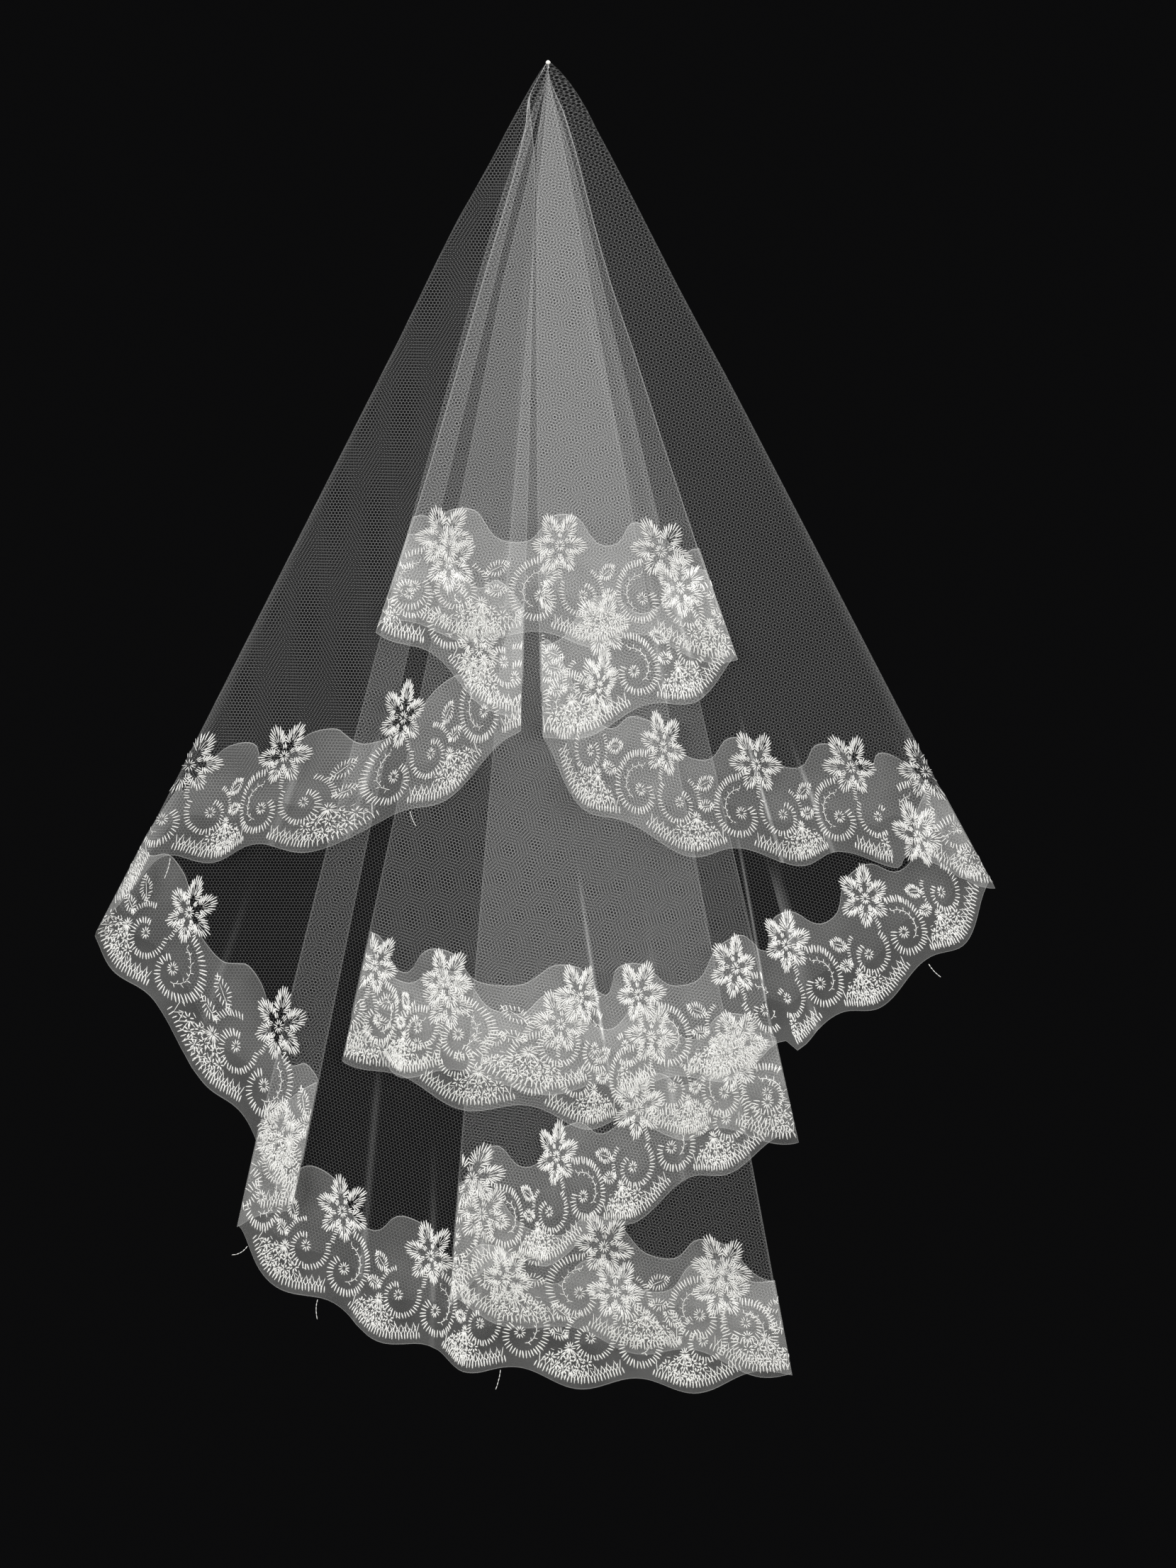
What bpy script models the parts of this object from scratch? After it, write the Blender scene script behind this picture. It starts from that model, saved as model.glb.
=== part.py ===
"""Bridal veil of soft tulle with an embroidered lace edging, hung in folds on a ball-head pin.

The veil is one round of tulle with a scalloped lace band sewn on all round. It hangs from one
point near its edge, so its cloth falls in twelve stretches that fold over each other like a fan.
The stretches follow one another round the closed hem. X is right, Z is up, the viewer stands at
-Y, and the origin is where the pin enters the wall, whose face is the plane Y = 0.
"""
import math
from collections import namedtuple

import bpy
import numpy as np
from mathutils import Vector

MM = 0.001

# Cloth sizes in millimetres
WALL = 1.0
SEAM_GAP = 0.3
LACE_REPEAT = 97.0
LACE_HEIGHT = 86.0
LACE_TOP_WAVE = 23.0
LACE_PEAK_PHASE = 0.08
SCALLOP_DEPTH = 12.0
SCALLOP_PHASE = 0.30
TULLE_END_ABOVE_HEM = 35.0
COLUMNS_PER_REPEAT = 5

# How the layers lie behind each other: layer 0 is nearest the viewer and layer 7 the wall
LAYERS = 8
TIGHT_SPACING = 2.0
OPEN_SPACING = 6.4
SPACING_OPEN_AT = 430.0
CENTRE_Y_AT_PIN = -16.0
CENTRE_Y_AT_HEM = -35.0

# The gathered tip at the pin, and the curve of the cloth's shoulders beside it
TIP_REACH = 40.0
TIP_TOP = 4.5
TIP_TOP_WIDTH = 7.0
TIP_TOP_DEPTH = 7.0
TIP_FAN_SHARE = 0.8
TIP_SQUARENESS = 0.8
TIP_SIDES = 20
TIP_RING_SHARES = (0.0, 0.12, 0.3, 0.5, 0.75, 1.0)
SHOULDER_RISE = 25.0
SHOULDER_END = 640.0
SHOULDER_RIGHT = 13.0
SHOULDER_LEFT = 8.0
WING_ANGLE = 28.0
NEAR_PIN_REACH = 260.0

# Slow waves that all the layers share
FLUTE_PITCH_DEG = 19.0
FLUTE_HEIGHT = 4.0
SWELL_LENGTH = 900.0
SWELL_HEIGHT = 2.5
LONG_REACH = 950.0

# The pin
PIN_RADIUS = 0.35
PIN_HEAD_RADIUS = 1.8
PIN_HEAD_Y = -26.0
PIN_TIP_Y = 11.0
PIN_POINT_LENGTH = 3.0
PIN_HOLE_RADIUS = 0.65
PIN_SIDES = 12
PIN_HEAD_RINGS = 7

Station = namedtuple("Station", "angle_deg reach_mm layer")
Stretch = namedtuple("Stretch", "name flowers_mm stations")
Fold = namedtuple("Fold", "near_pin_deg bend_deg")
Pleat = namedtuple("Pleat", "stretch angle_deg starts_mm half_width_mm rise_mm")
Division = namedtuple("Division", "stretch first_part angle_deg")

# The twelve stretches in their order round the hem. Angles are from straight down, positive to
# the right; reach is from the pin to the lace's lower edge. A flower of the lace stands at each of
# flowers_mm, measured along the hem from the stretch's start, closer where the cloth is pinched.
STRETCHES = (
    Stretch("front_flap", (38, 141, 221), (
        Station(-16.5, 457, 0.0), Station(-7.9, 449, 0.0), Station(0.6, 449, 0.0),
        Station(8.9, 456, 0.0), Station(17.3, 488, 0.0))),
    Stretch("right_tuck", (10, 98), (
        Station(17.3, 488, 1.0), Station(11.8, 507, 1.0), Station(5.4, 515, 1.0),
        Station(-0.5, 529, 1.0))),
    Stretch("right_wing", (24, 118, 205, 283, 336), (
        Station(-0.5, 529, 2.0), Station(2.6, 574, 2.0), Station(8.2, 612, 2.0),
        Station(14.4, 637, 2.0), Station(20.8, 662, 1.6), Station(25.8, 693, 1.0),
        Station(28.3, 727, 0.6))),
    Stretch("middle_sheet", (16, 100, 180, 226, 320, 373, 488, 552), (
        Station(28.3, 727, 4.4), Station(24.7, 755, 4.0), Station(19.0, 773, 3.2),
        Station(13.7, 786, 3.0), Station(9.0, 798, 3.0), Station(3.1, 800, 3.0),
        Station(-2.9, 792, 3.0), Station(-8.5, 790, 3.0), Station(-11.7, 786, 3.0))),
    Stretch("middle_return", (72, 172, 248, 322), (
        Station(-11.7, 786, 4.0), Station(-6.7, 806, 4.0), Station(-1.2, 816, 4.0),
        Station(4.9, 831, 4.0), Station(13.0, 856, 4.0))),
    Stretch("lower_sheet", (30, 112, 191, 262), (
        Station(13.0, 856, 5.0), Station(9.0, 870, 5.0), Station(4.5, 897, 5.0),
        Station(0.3, 928, 5.0), Station(-3.1, 941, 5.0), Station(-4.6, 965, 5.0))),
    Stretch("lower_return", (12, 120, 217), (
        Station(-4.6, 965, 6.0), Station(-1.0, 982, 6.0), Station(3.4, 999, 6.0),
        Station(7.1, 1017, 6.0), Station(10.5, 1038, 6.0))),
    Stretch("train", (46, 138, 232, 302, 386), (
        Station(10.5, 1038, 7.0), Station(6.5, 1037, 7.0), Station(1.5, 1028, 7.0),
        Station(-2.9, 1018, 7.0), Station(-7.0, 1001, 6.9), Station(-11.1, 978, 6.6),
        Station(-13.5, 963, 5.7), Station(-14.9, 941, 5.0))),
    Stretch("train_strip", (31,), (
        Station(-14.9, 941, 4.0), Station(-12.5, 907, 4.0))),
    Stretch("left_wing_back", (93, 209), (
        Station(-12.5, 907, 3.0), Station(-15.8, 860, 3.0), Station(-21.3, 806, 3.5),
        Station(-25.5, 777, 4.0), Station(-27.3, 762, 4.3))),
    Stretch("left_wing", (18, 93, 163, 279, 372), (
        Station(-27.3, 762, 0.6), Station(-26.1, 697, 0.9), Station(-21.6, 661, 1.6),
        Station(-16.3, 632, 2.0), Station(-11.2, 600, 2.0), Station(-6.3, 559, 2.0),
        Station(-2.2, 518, 2.0))),
    Stretch("left_tuck", (12, 106), (
        Station(-2.2, 518, 1.0), Station(-8.6, 483, 1.0), Station(-16.5, 457, 1.0))),
)

# The fold at the start of each stretch: its angle near the pin and how softly it turns
FOLDS = {
    "front_flap": Fold(-16.5, 0.5),
    "right_tuck": Fold(17.3, 0.5),
    "right_wing": Fold(0.3, 0.5),
    "middle_sheet": Fold(28.3, 2.0),
    "middle_return": Fold(-11.2, 0.5),
    "lower_sheet": Fold(13.4, 0.5),
    "lower_return": Fold(-4.6, 0.5),
    "train": Fold(10.5, 0.5),
    "train_strip": Fold(-17.3, 0.45),
    "left_wing_back": Fold(-13.4, 0.45),
    "left_wing": Fold(-27.3, 1.8),
    "left_tuck": Fold(-3.0, 0.5),
}

# Short pleats pinched into the long sheets
PLEATS = (
    Pleat("right_wing", 16.8, 480.0, 13.0, 4.0),
    Pleat("right_wing", 25.6, 500.0, 13.0, 4.5),
    Pleat("middle_sheet", 3.4, 600.0, 15.0, 4.5),
    Pleat("middle_sheet", 15.0, 640.0, 12.0, 3.0),
    Pleat("left_wing", -19.4, 520.0, 14.0, 3.5),
)

# The middle sheet is made as two nodes, because its first part is the back of the right wing
DIVISION = Division("middle_sheet", "right_wing_back", 20.0)
CLEAR_OF_DIVISION = 8.0

BEND_STEPS_DEG = (30.0, 60.0, 90.0)
MIN_BEND = 1.05
CLEAR_OF_FOLD_DEG = 1.9
TULLE_ROW_SHARES = (0.0, 0.07, 0.22, 0.42, 0.7, 1.0)
NORMAL_STEP = 0.05
BEND_NORMAL_STEP = math.radians(1.0)
BEND_NORMAL_FROM = math.radians(14.0)


def clear_scene():
    """Removes every object, so that the script can be run again in an open file."""
    for item in list(bpy.data.objects):
        bpy.data.objects.remove(item, do_unlink=True)


def ease(share):
    """Smooth step from 0 to 1."""
    share = min(max(share, 0.0), 1.0)
    return share * share * (3.0 - 2.0 * share)


def monotone_slopes(places, values):
    """Slopes of a curve through the stations that never swings past them."""
    steps = np.diff(places)
    rises = np.diff(values) / steps
    slopes = np.zeros(len(values))
    slopes[0] = rises[0]
    slopes[-1] = rises[-1]
    for index in range(1, len(values) - 1):
        before = rises[index - 1]
        after = rises[index]
        if before * after > 0.0:
            slopes[index] = 2.0 * before * after / (before + after)
    return slopes


def curve_value(places, values, slopes, place):
    """Value of the monotone curve at one place along the hem."""
    last = len(places) - 2
    index = int(min(max(np.searchsorted(places, place) - 1, 0), last))
    step = places[index + 1] - places[index]
    share = (place - places[index]) / step
    start = (1.0 + 2.0 * share) * (1.0 - share) ** 2 * values[index]
    end = share * share * (3.0 - 2.0 * share) * values[index + 1]
    start_slope = share * (1.0 - share) ** 2 * step * slopes[index]
    end_slope = share * share * (share - 1.0) * step * slopes[index + 1]
    return start + end + start_slope + end_slope


def hem_place(station):
    """Hem point of a station in the plane of the wall."""
    angle = math.radians(station.angle_deg)
    return station.reach_mm * math.sin(angle), -station.reach_mm * math.cos(angle)


def layer_spacing(reach):
    """Distance between two layers, tight at the pin and open lower down."""
    share = min(reach / SPACING_OPEN_AT, 1.0)
    return TIGHT_SPACING + (OPEN_SPACING - TIGHT_SPACING) * share


def layer_depth(layer, reach):
    """Y of a layer, without the waves."""
    centre = CENTRE_Y_AT_PIN + (CENTRE_Y_AT_HEM - CENTRE_Y_AT_PIN) * min(reach / LONG_REACH, 1.0)
    return centre + (layer - (LAYERS - 1) / 2.0) * layer_spacing(reach)


def shared_wave(angle_deg, reach):
    """Slow flutes and swell that every layer follows."""
    share = min(reach / LONG_REACH, 1.0)
    flutes = FLUTE_HEIGHT * share * share * math.sin(math.tau * angle_deg / FLUTE_PITCH_DEG + 0.6)
    swell = SWELL_HEIGHT * share * math.sin(math.tau * reach / SWELL_LENGTH)
    return flutes + swell


def shoulder(angle_deg, reach):
    """Sideways bulge of the outer folds just below the pin."""
    size = SHOULDER_RIGHT if angle_deg > 0.0 else SHOULDER_LEFT
    rise = 1.0 - math.exp(-reach / SHOULDER_RISE)
    fall = max(0.0, 1.0 - reach / SHOULDER_END)
    share = angle_deg / WING_ANGLE
    return size * share * abs(share) * rise * fall


class StretchSurface:
    """Middle surface of one stretch of cloth between two folds."""

    def __init__(self, index):
        stretch = STRETCHES[index]
        following = STRETCHES[(index + 1) % len(STRETCHES)]
        preceding = STRETCHES[index - 1]
        self.name = stretch.name
        self.stations = stretch.stations
        self.flowers = stretch.flowers_mm
        self.start_fold = FOLDS[stretch.name]
        self.end_fold = FOLDS[following.name]
        self.turn = math.copysign(1.0, stretch.stations[-1].angle_deg - stretch.stations[0].angle_deg)
        self.start_middle = (stretch.stations[0].layer + preceding.stations[-1].layer) / 2.0
        self.end_middle = (stretch.stations[-1].layer + following.stations[0].layer) / 2.0
        points = [hem_place(station) for station in stretch.stations]
        lengths = [math.dist(a, b) for a, b in zip(points, points[1:])]
        self.places = np.concatenate([[0.0], np.cumsum(lengths)])
        self.hem_length = float(self.places[-1])
        self.curves = {}
        for field in Station._fields:
            values = np.array([getattr(station, field) for station in stretch.stations], float)
            self.curves[field] = (values, monotone_slopes(self.places, values))
        self.pleats = [pleat for pleat in PLEATS if pleat.stretch == stretch.name]

    def along(self, field, place):
        """Angle, reach or layer at a place along the hem."""
        values, slopes = self.curves[field]
        return curve_value(self.places, values, slopes, place)

    def place_of_angle(self, angle_deg):
        """Place along the hem where the stretch has this angle."""
        low = 0.0
        high = self.hem_length
        for _ in range(40):
            middle = (low + high) / 2.0
            if (self.along("angle_deg", middle) - angle_deg) * self.turn < 0.0:
                low = middle
            else:
                high = middle
        return (low + high) / 2.0

    def near_pin_shift(self, hem_angle, reach):
        """How far the cloth's angle near the pin differs from its angle at the hem."""
        first = self.stations[0].angle_deg
        last = self.stations[-1].angle_deg
        share = (hem_angle - first) / (last - first)
        start_shift = self.start_fold.near_pin_deg - first
        end_shift = self.end_fold.near_pin_deg - last
        shift = start_shift + (end_shift - start_shift) * share
        return shift * (1.0 - ease(reach / NEAR_PIN_REACH))

    def bend_size(self, fold, reach):
        """Width of the rounded fold at this reach, in millimetres."""
        return max(MIN_BEND, reach * math.radians(fold.bend_deg))

    def fold_angle(self, at_start, reach):
        """Angle of the fold line at this reach."""
        station = self.stations[0] if at_start else self.stations[-1]
        return station.angle_deg + self.near_pin_shift(station.angle_deg, reach)

    def angle_at(self, column, reach):
        """Angle of a column at this reach.

        A column lies in a bend, at a place on the hem, or beside the division at a distance.
        """
        kind, value = column
        if kind == "division":
            hem_angle = DIVISION.angle_deg
            away = math.degrees(value / reach) * self.turn
            return hem_angle + self.near_pin_shift(hem_angle, reach) + away
        if kind == "hem":
            hem_angle = self.along("angle_deg", value)
            return hem_angle + self.near_pin_shift(hem_angle, reach)
        at_start = kind == "start"
        fold = self.start_fold if at_start else self.end_fold
        inward = self.turn if at_start else -self.turn
        across = self.bend_size(fold, reach) * (1.0 - math.cos(value))
        return self.fold_angle(at_start, reach) + inward * math.degrees(across / reach)

    def bend_share(self, at_start, angle_deg, reach):
        """How far the cloth has left the middle of the fold: 0 at the fold line, 1 beyond it."""
        fold = self.start_fold if at_start else self.end_fold
        across = reach * math.radians(abs(angle_deg - self.fold_angle(at_start, reach)))
        left = 1.0 - min(across / self.bend_size(fold, reach), 1.0)
        return math.sqrt(max(0.0, 1.0 - left * left))

    def pleat_rise(self, angle_deg, reach):
        """Forward rise of the short pleats."""
        rise = 0.0
        for pleat in self.pleats:
            across = reach * math.radians(abs(angle_deg - pleat.angle_deg))
            if across < pleat.half_width_mm:
                height = 0.5 + 0.5 * math.cos(math.pi * across / pleat.half_width_mm)
                rise += pleat.rise_mm * height * ease((reach - pleat.starts_mm) / 90.0)
        return rise

    def point(self, column, reach):
        """Point of the middle surface in millimetres."""
        angle_deg = self.angle_at(column, reach)
        hem_angle = angle_deg - self.near_pin_shift(angle_deg, reach)
        layer = self.along("layer", self.place_of_angle(hem_angle))
        depth = layer_depth(layer, reach)
        for at_start, middle in ((True, self.start_middle), (False, self.end_middle)):
            share = self.bend_share(at_start, angle_deg, reach)
            if share < 1.0:
                middle_depth = layer_depth(middle, reach)
                leave = depth - middle_depth
                half_gap = math.copysign(SEAM_GAP / 2.0, leave)
                depth = middle_depth + max(leave * share, half_gap, key=abs)
        depth += shared_wave(angle_deg, reach) - self.pleat_rise(angle_deg, reach)
        angle = math.radians(angle_deg)
        across = reach * math.sin(angle) + shoulder(angle_deg, reach)
        return Vector((across, depth, -reach * math.cos(angle)))

    def normal(self, column, reach):
        """Direction in which the cloth's right side faces."""
        kind, value = column
        if kind in ("hem", "division"):
            before = self.point((kind, value - NORMAL_STEP), reach)
            after = self.point((kind, value + NORMAL_STEP), reach)
            along = after - before
        else:
            centre = max(value, BEND_NORMAL_FROM)
            low = self.point((kind, centre - BEND_NORMAL_STEP), reach)
            high = self.point((kind, centre + BEND_NORMAL_STEP), reach)
            along = high - low if kind == "start" else low - high
            if value == 0.0:
                along = Vector((0.0, along.y, 0.0))
        down = self.point(column, reach + 1.0) - self.point(column, reach - 1.0)
        return down.cross(along).normalized()

    def columns(self):
        """Columns across the stretch: the start bend, places along the hem, and the end bend."""
        clear_start = max(CLEAR_OF_FOLD_DEG, self.start_fold.bend_deg + 0.6)
        clear_end = max(CLEAR_OF_FOLD_DEG, self.end_fold.bend_deg + 0.6)
        first_angle = self.stations[0].angle_deg + self.turn * clear_start
        last_angle = self.stations[-1].angle_deg - self.turn * clear_end
        result = [("start", 0.0)]
        result += [("start", math.radians(step)) for step in BEND_STEPS_DEG]
        if (last_angle - first_angle) * self.turn > 0.0:
            first = self.place_of_angle(first_angle)
            last = self.place_of_angle(last_angle)
            count = max(2, round((last - first) / LACE_REPEAT * COLUMNS_PER_REPEAT) + 1)
            places = list(np.linspace(first, last, count))
            places = self.with_pleat_places(places, first, last)
            result += [("hem", float(place)) for place in places]
        result += [("end", math.radians(step)) for step in reversed(BEND_STEPS_DEG)]
        result.append(("end", 0.0))
        return result

    def with_pleat_places(self, places, first, last):
        """Moves the nearest columns onto each pleat's crest and feet."""
        step = (last - first) / (len(places) - 1)
        for pleat in self.pleats:
            crest = self.place_of_angle(pleat.angle_deg)
            feet = (crest - pleat.half_width_mm, crest, crest + pleat.half_width_mm)
            places = [place for place in places if abs(place - crest) > pleat.half_width_mm + 0.4 * step]
            places += [foot for foot in feet if first <= foot <= last]
        return sorted(places)

    def phase(self, place):
        """Place counted in lace repeats, a whole number at each flower."""
        flowers = self.flowers
        if place <= flowers[0]:
            return (place - flowers[0]) / LACE_REPEAT
        if place >= flowers[-1]:
            return len(flowers) - 1 + (place - flowers[-1]) / LACE_REPEAT
        return float(np.interp(place, flowers, range(len(flowers))))

    def hem_reach(self, column):
        """Reach of the lace's scalloped lower edge at a column."""
        place = self.hem_position(column)
        wave = math.cos(math.tau * (self.phase(place) - SCALLOP_PHASE))
        return self.along("reach_mm", place) + SCALLOP_DEPTH / 2.0 * wave

    def lace_top_reach(self, column):
        """Reach of the lace's upper edge, nearest the pin over each flower."""
        place = self.hem_position(column)
        wave = math.cos(math.tau * (self.phase(place) - LACE_PEAK_PHASE))
        return self.along("reach_mm", place) - LACE_HEIGHT - LACE_TOP_WAVE / 2.0 * wave

    def hem_position(self, column):
        """Place of a column along the hem."""
        kind, value = column
        if kind == "hem":
            return value
        if kind == "division":
            return self.place_of_angle(DIVISION.angle_deg) + value
        return 0.0 if kind == "start" else self.hem_length

    def parts(self):
        """Name and columns of each node that the stretch is made as."""
        columns = self.columns()
        if self.name != DIVISION.stretch:
            return [(self.name, columns)]
        division = self.place_of_angle(DIVISION.angle_deg)
        before = [column for column in columns if self.hem_position(column) < division - CLEAR_OF_DIVISION]
        after = [column for column in columns if self.hem_position(column) > division + CLEAR_OF_DIVISION]
        before.append(("division", -SEAM_GAP / 2.0))
        after.insert(0, ("division", SEAM_GAP / 2.0))
        return [(DIVISION.first_part, before), (self.name, after)]


def wall_mesh(name, surface, columns, row_reaches, offset):
    """Closed wall of cloth, its middle lying off the surface by the offset."""
    outer = []
    inner = []
    for column in columns:
        for reach in row_reaches(column):
            middle = surface.point(column, reach)
            normal = surface.normal(column, reach)
            outer.append((middle + normal * (offset + WALL / 2.0)) * MM)
            inner.append((middle + normal * (offset - WALL / 2.0)) * MM)
    rows = len(row_reaches(columns[0]))
    count = len(outer)
    faces = []

    def at(column_index, row_index):
        return column_index * rows + row_index

    for i in range(len(columns) - 1):
        for j in range(rows - 1):
            lower = (at(i, j), at(i, j + 1), at(i + 1, j + 1))
            upper = (at(i, j), at(i + 1, j + 1), at(i + 1, j))
            for corners in (lower, upper):
                faces.append(corners)
                faces.append(tuple(count + corner for corner in reversed(corners)))
    for i in range(len(columns) - 1):
        faces.append((at(i, 0), at(i + 1, 0), count + at(i + 1, 0), count + at(i, 0)))
        low = rows - 1
        faces.append((at(i + 1, low), at(i, low), count + at(i, low), count + at(i + 1, low)))
    last = len(columns) - 1
    for j in range(rows - 1):
        faces.append((at(0, j + 1), at(0, j), count + at(0, j), count + at(0, j + 1)))
        faces.append((at(last, j), at(last, j + 1), count + at(last, j + 1), count + at(last, j)))
    mesh = bpy.data.meshes.new(name)
    mesh.from_pydata([tuple(point) for point in outer + inner], [], faces)
    mesh.update()
    return mesh


def add_object(name, mesh, material):
    """Links a mesh as a named object with its material."""
    mesh.materials.append(material)
    item = bpy.data.objects.new(name, mesh)
    bpy.context.scene.collection.objects.link(item)
    return item


def make_material(name, colour, roughness, metallic=0.0):
    """Principled material of one plain colour."""
    material = bpy.data.materials.new(name)
    material.use_nodes = True
    shader = material.node_tree.nodes["Principled BSDF"]
    shader.inputs["Base Color"].default_value = (*colour, 1.0)
    shader.inputs["Roughness"].default_value = roughness
    shader.inputs["Metallic"].default_value = metallic
    return material


def build_tulle(surface, material):
    """Net stretch from the gathered tip down to its raw edge under the lace."""

    def rows(column):
        top = surface.lace_top_reach(column)
        reaches = [TIP_REACH + (top - TIP_REACH) * share for share in TULLE_ROW_SHARES]
        return reaches + [surface.hem_reach(column) - TULLE_END_ABOVE_HEM]

    for part, columns in surface.parts():
        name = "tulle_" + part
        add_object(name, wall_mesh(name, surface, columns, rows, 0.0), material)


def build_lace(surface, material):
    """Lace band on the right side of the net, from its wavy upper edge to the hem."""

    def rows(column):
        hem = surface.hem_reach(column)
        return [surface.lace_top_reach(column), hem - TULLE_END_ABOVE_HEM, hem]

    offset = WALL + SEAM_GAP
    for part, columns in surface.parts():
        name = "lace_" + part
        add_object(name, wall_mesh(name, surface, columns, rows, offset), material)


def tip_section(reach, left, right, depth):
    """Rounded section of the gathered tip at one reach, its middle lower than its sides."""
    points = []
    for index in range(TIP_SIDES):
        angle = math.tau * index / TIP_SIDES
        across = math.copysign(abs(math.cos(angle)) ** TIP_SQUARENESS, math.cos(angle))
        deep = math.copysign(abs(math.sin(angle)) ** TIP_SQUARENESS, math.sin(angle))
        x = across * (right if across > 0.0 else left)
        z = -reach
        if reach > abs(x):
            z = -math.sqrt(reach * reach - x * x)
        points.append((x * MM, (CENTRE_Y_AT_PIN + deep * depth / 2.0) * MM, z * MM))
    return points


def closed_loft(name, rings, sides):
    """Mesh through rings of equally many points, closed by a face at each end."""
    vertices = [point for ring in rings for point in ring]
    last = (len(rings) - 1) * sides
    faces = [tuple(range(sides)), tuple(reversed(range(last, last + sides)))]
    for level in range(len(rings) - 1):
        for index in range(sides):
            after = (index + 1) % sides
            first = level * sides
            second = first + sides
            faces.append((first + index, second + index, second + after, first + after))
    mesh = bpy.data.meshes.new(name)
    mesh.from_pydata(vertices, [], faces)
    mesh.update()
    return mesh


def build_gathered_tip(material):
    """Bunched cloth at the pin, where the layers are drawn together into one rounded fan."""
    lower_depth = (LAYERS - 1) * layer_spacing(TIP_REACH) + WALL
    fan_reach = TIP_REACH * TIP_FAN_SHARE
    fan_half = fan_reach * math.sin(math.radians(WING_ANGLE))
    fan_right = fan_half + shoulder(WING_ANGLE, fan_reach)
    fan_left = fan_half - shoulder(-WING_ANGLE, fan_reach)
    half_top = TIP_TOP_WIDTH / 2.0
    rings = []
    for share in TIP_RING_SHARES:
        reach = -TIP_TOP + (TIP_REACH - SEAM_GAP + TIP_TOP) * share
        spread = math.sqrt(share)
        left = half_top + (fan_left - half_top) * spread
        right = half_top + (fan_right - half_top) * spread
        depth = TIP_TOP_DEPTH + (lower_depth - TIP_TOP_DEPTH) * share
        rings.append(tip_section(reach, left, right, depth))
    mesh = closed_loft("gathered_tip", rings, TIP_SIDES)
    tip = add_object("gathered_tip", mesh, material)
    bpy.ops.mesh.primitive_cylinder_add(
        vertices=PIN_SIDES, radius=PIN_HOLE_RADIUS * MM, depth=40.0 * MM,
        location=(0.0, CENTRE_Y_AT_PIN * MM, 0.0), rotation=(math.pi / 2.0, 0.0, 0.0))
    cutter = bpy.context.object
    cutter.name = "pin_hole_cutter"
    cutter.display_type = "WIRE"
    cutter.hide_render = True
    hole = tip.modifiers.new("pin_hole", "BOOLEAN")
    hole.operation = "DIFFERENCE"
    hole.object = cutter
    return tip


def turned_mesh(name, profile):
    """Solid turned round the Y axis from (y, radius) pairs in millimetres, closed at both ends."""
    rings = []
    for y, radius in profile:
        angles = [math.tau * index / PIN_SIDES for index in range(PIN_SIDES)]
        rings.append([
            (radius * math.cos(angle) * MM, y * MM, radius * math.sin(angle) * MM) for angle in angles])
    mesh = closed_loft(name, rings, PIN_SIDES)
    mesh.shade_smooth()
    return mesh


def build_pin(shaft_material, head_material):
    """Ball-head pin through the gathered tip, with its point in the wall."""
    neck_y = PIN_HEAD_Y + math.sqrt(PIN_HEAD_RADIUS ** 2 - PIN_RADIUS ** 2)
    shaft_start = neck_y + SEAM_GAP
    shaft = (
        (shaft_start, PIN_RADIUS),
        (PIN_TIP_Y - PIN_POINT_LENGTH, PIN_RADIUS),
        (PIN_TIP_Y, PIN_RADIUS * 0.2),
    )
    add_object("pin_shaft", turned_mesh("pin_shaft", shaft), shaft_material)
    ball = []
    neck_angle = math.asin(PIN_RADIUS / PIN_HEAD_RADIUS)
    for index in range(PIN_HEAD_RINGS):
        share = index / (PIN_HEAD_RINGS - 1)
        angle = math.pi - neck_angle - (math.pi - 2.0 * neck_angle) * share
        ball.append((PIN_HEAD_Y + PIN_HEAD_RADIUS * math.cos(angle), PIN_HEAD_RADIUS * math.sin(angle)))
    add_object("pin_head", turned_mesh("pin_head", ball), head_material)


def main():
    """Builds the veil and its pin."""
    clear_scene()
    tulle = make_material("soft_tulle", (0.88, 0.87, 0.84), 0.7)
    lace = make_material("embroidered_net", (0.93, 0.92, 0.89), 0.6)
    steel = make_material("pin_steel", (0.72, 0.72, 0.73), 0.25, 1.0)
    pearl = make_material("pearl_head", (0.90, 0.88, 0.83), 0.2)
    for index in range(len(STRETCHES)):
        surface = StretchSurface(index)
        build_tulle(surface, tulle)
        build_lace(surface, lace)
    build_gathered_tip(tulle)
    build_pin(steel, pearl)


main()
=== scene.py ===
"""Looks of a round tulle bridal veil with an embroidered lace edging, hung on a ball-head pin.

The cloth is one closed loop of twelve stretches that fold over each other like a fan. Each
stretch is a conical surface that fans out from the pin; the tulle, the lace band, every stitch
and the loose thread ends are laid on that one surface. Lengths are in millimetres until a mesh
is made, and angles are from straight down, positive to the right.
"""
from __future__ import annotations

import logging
import math
from collections.abc import Callable
from dataclasses import dataclass
from enum import Enum

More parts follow.
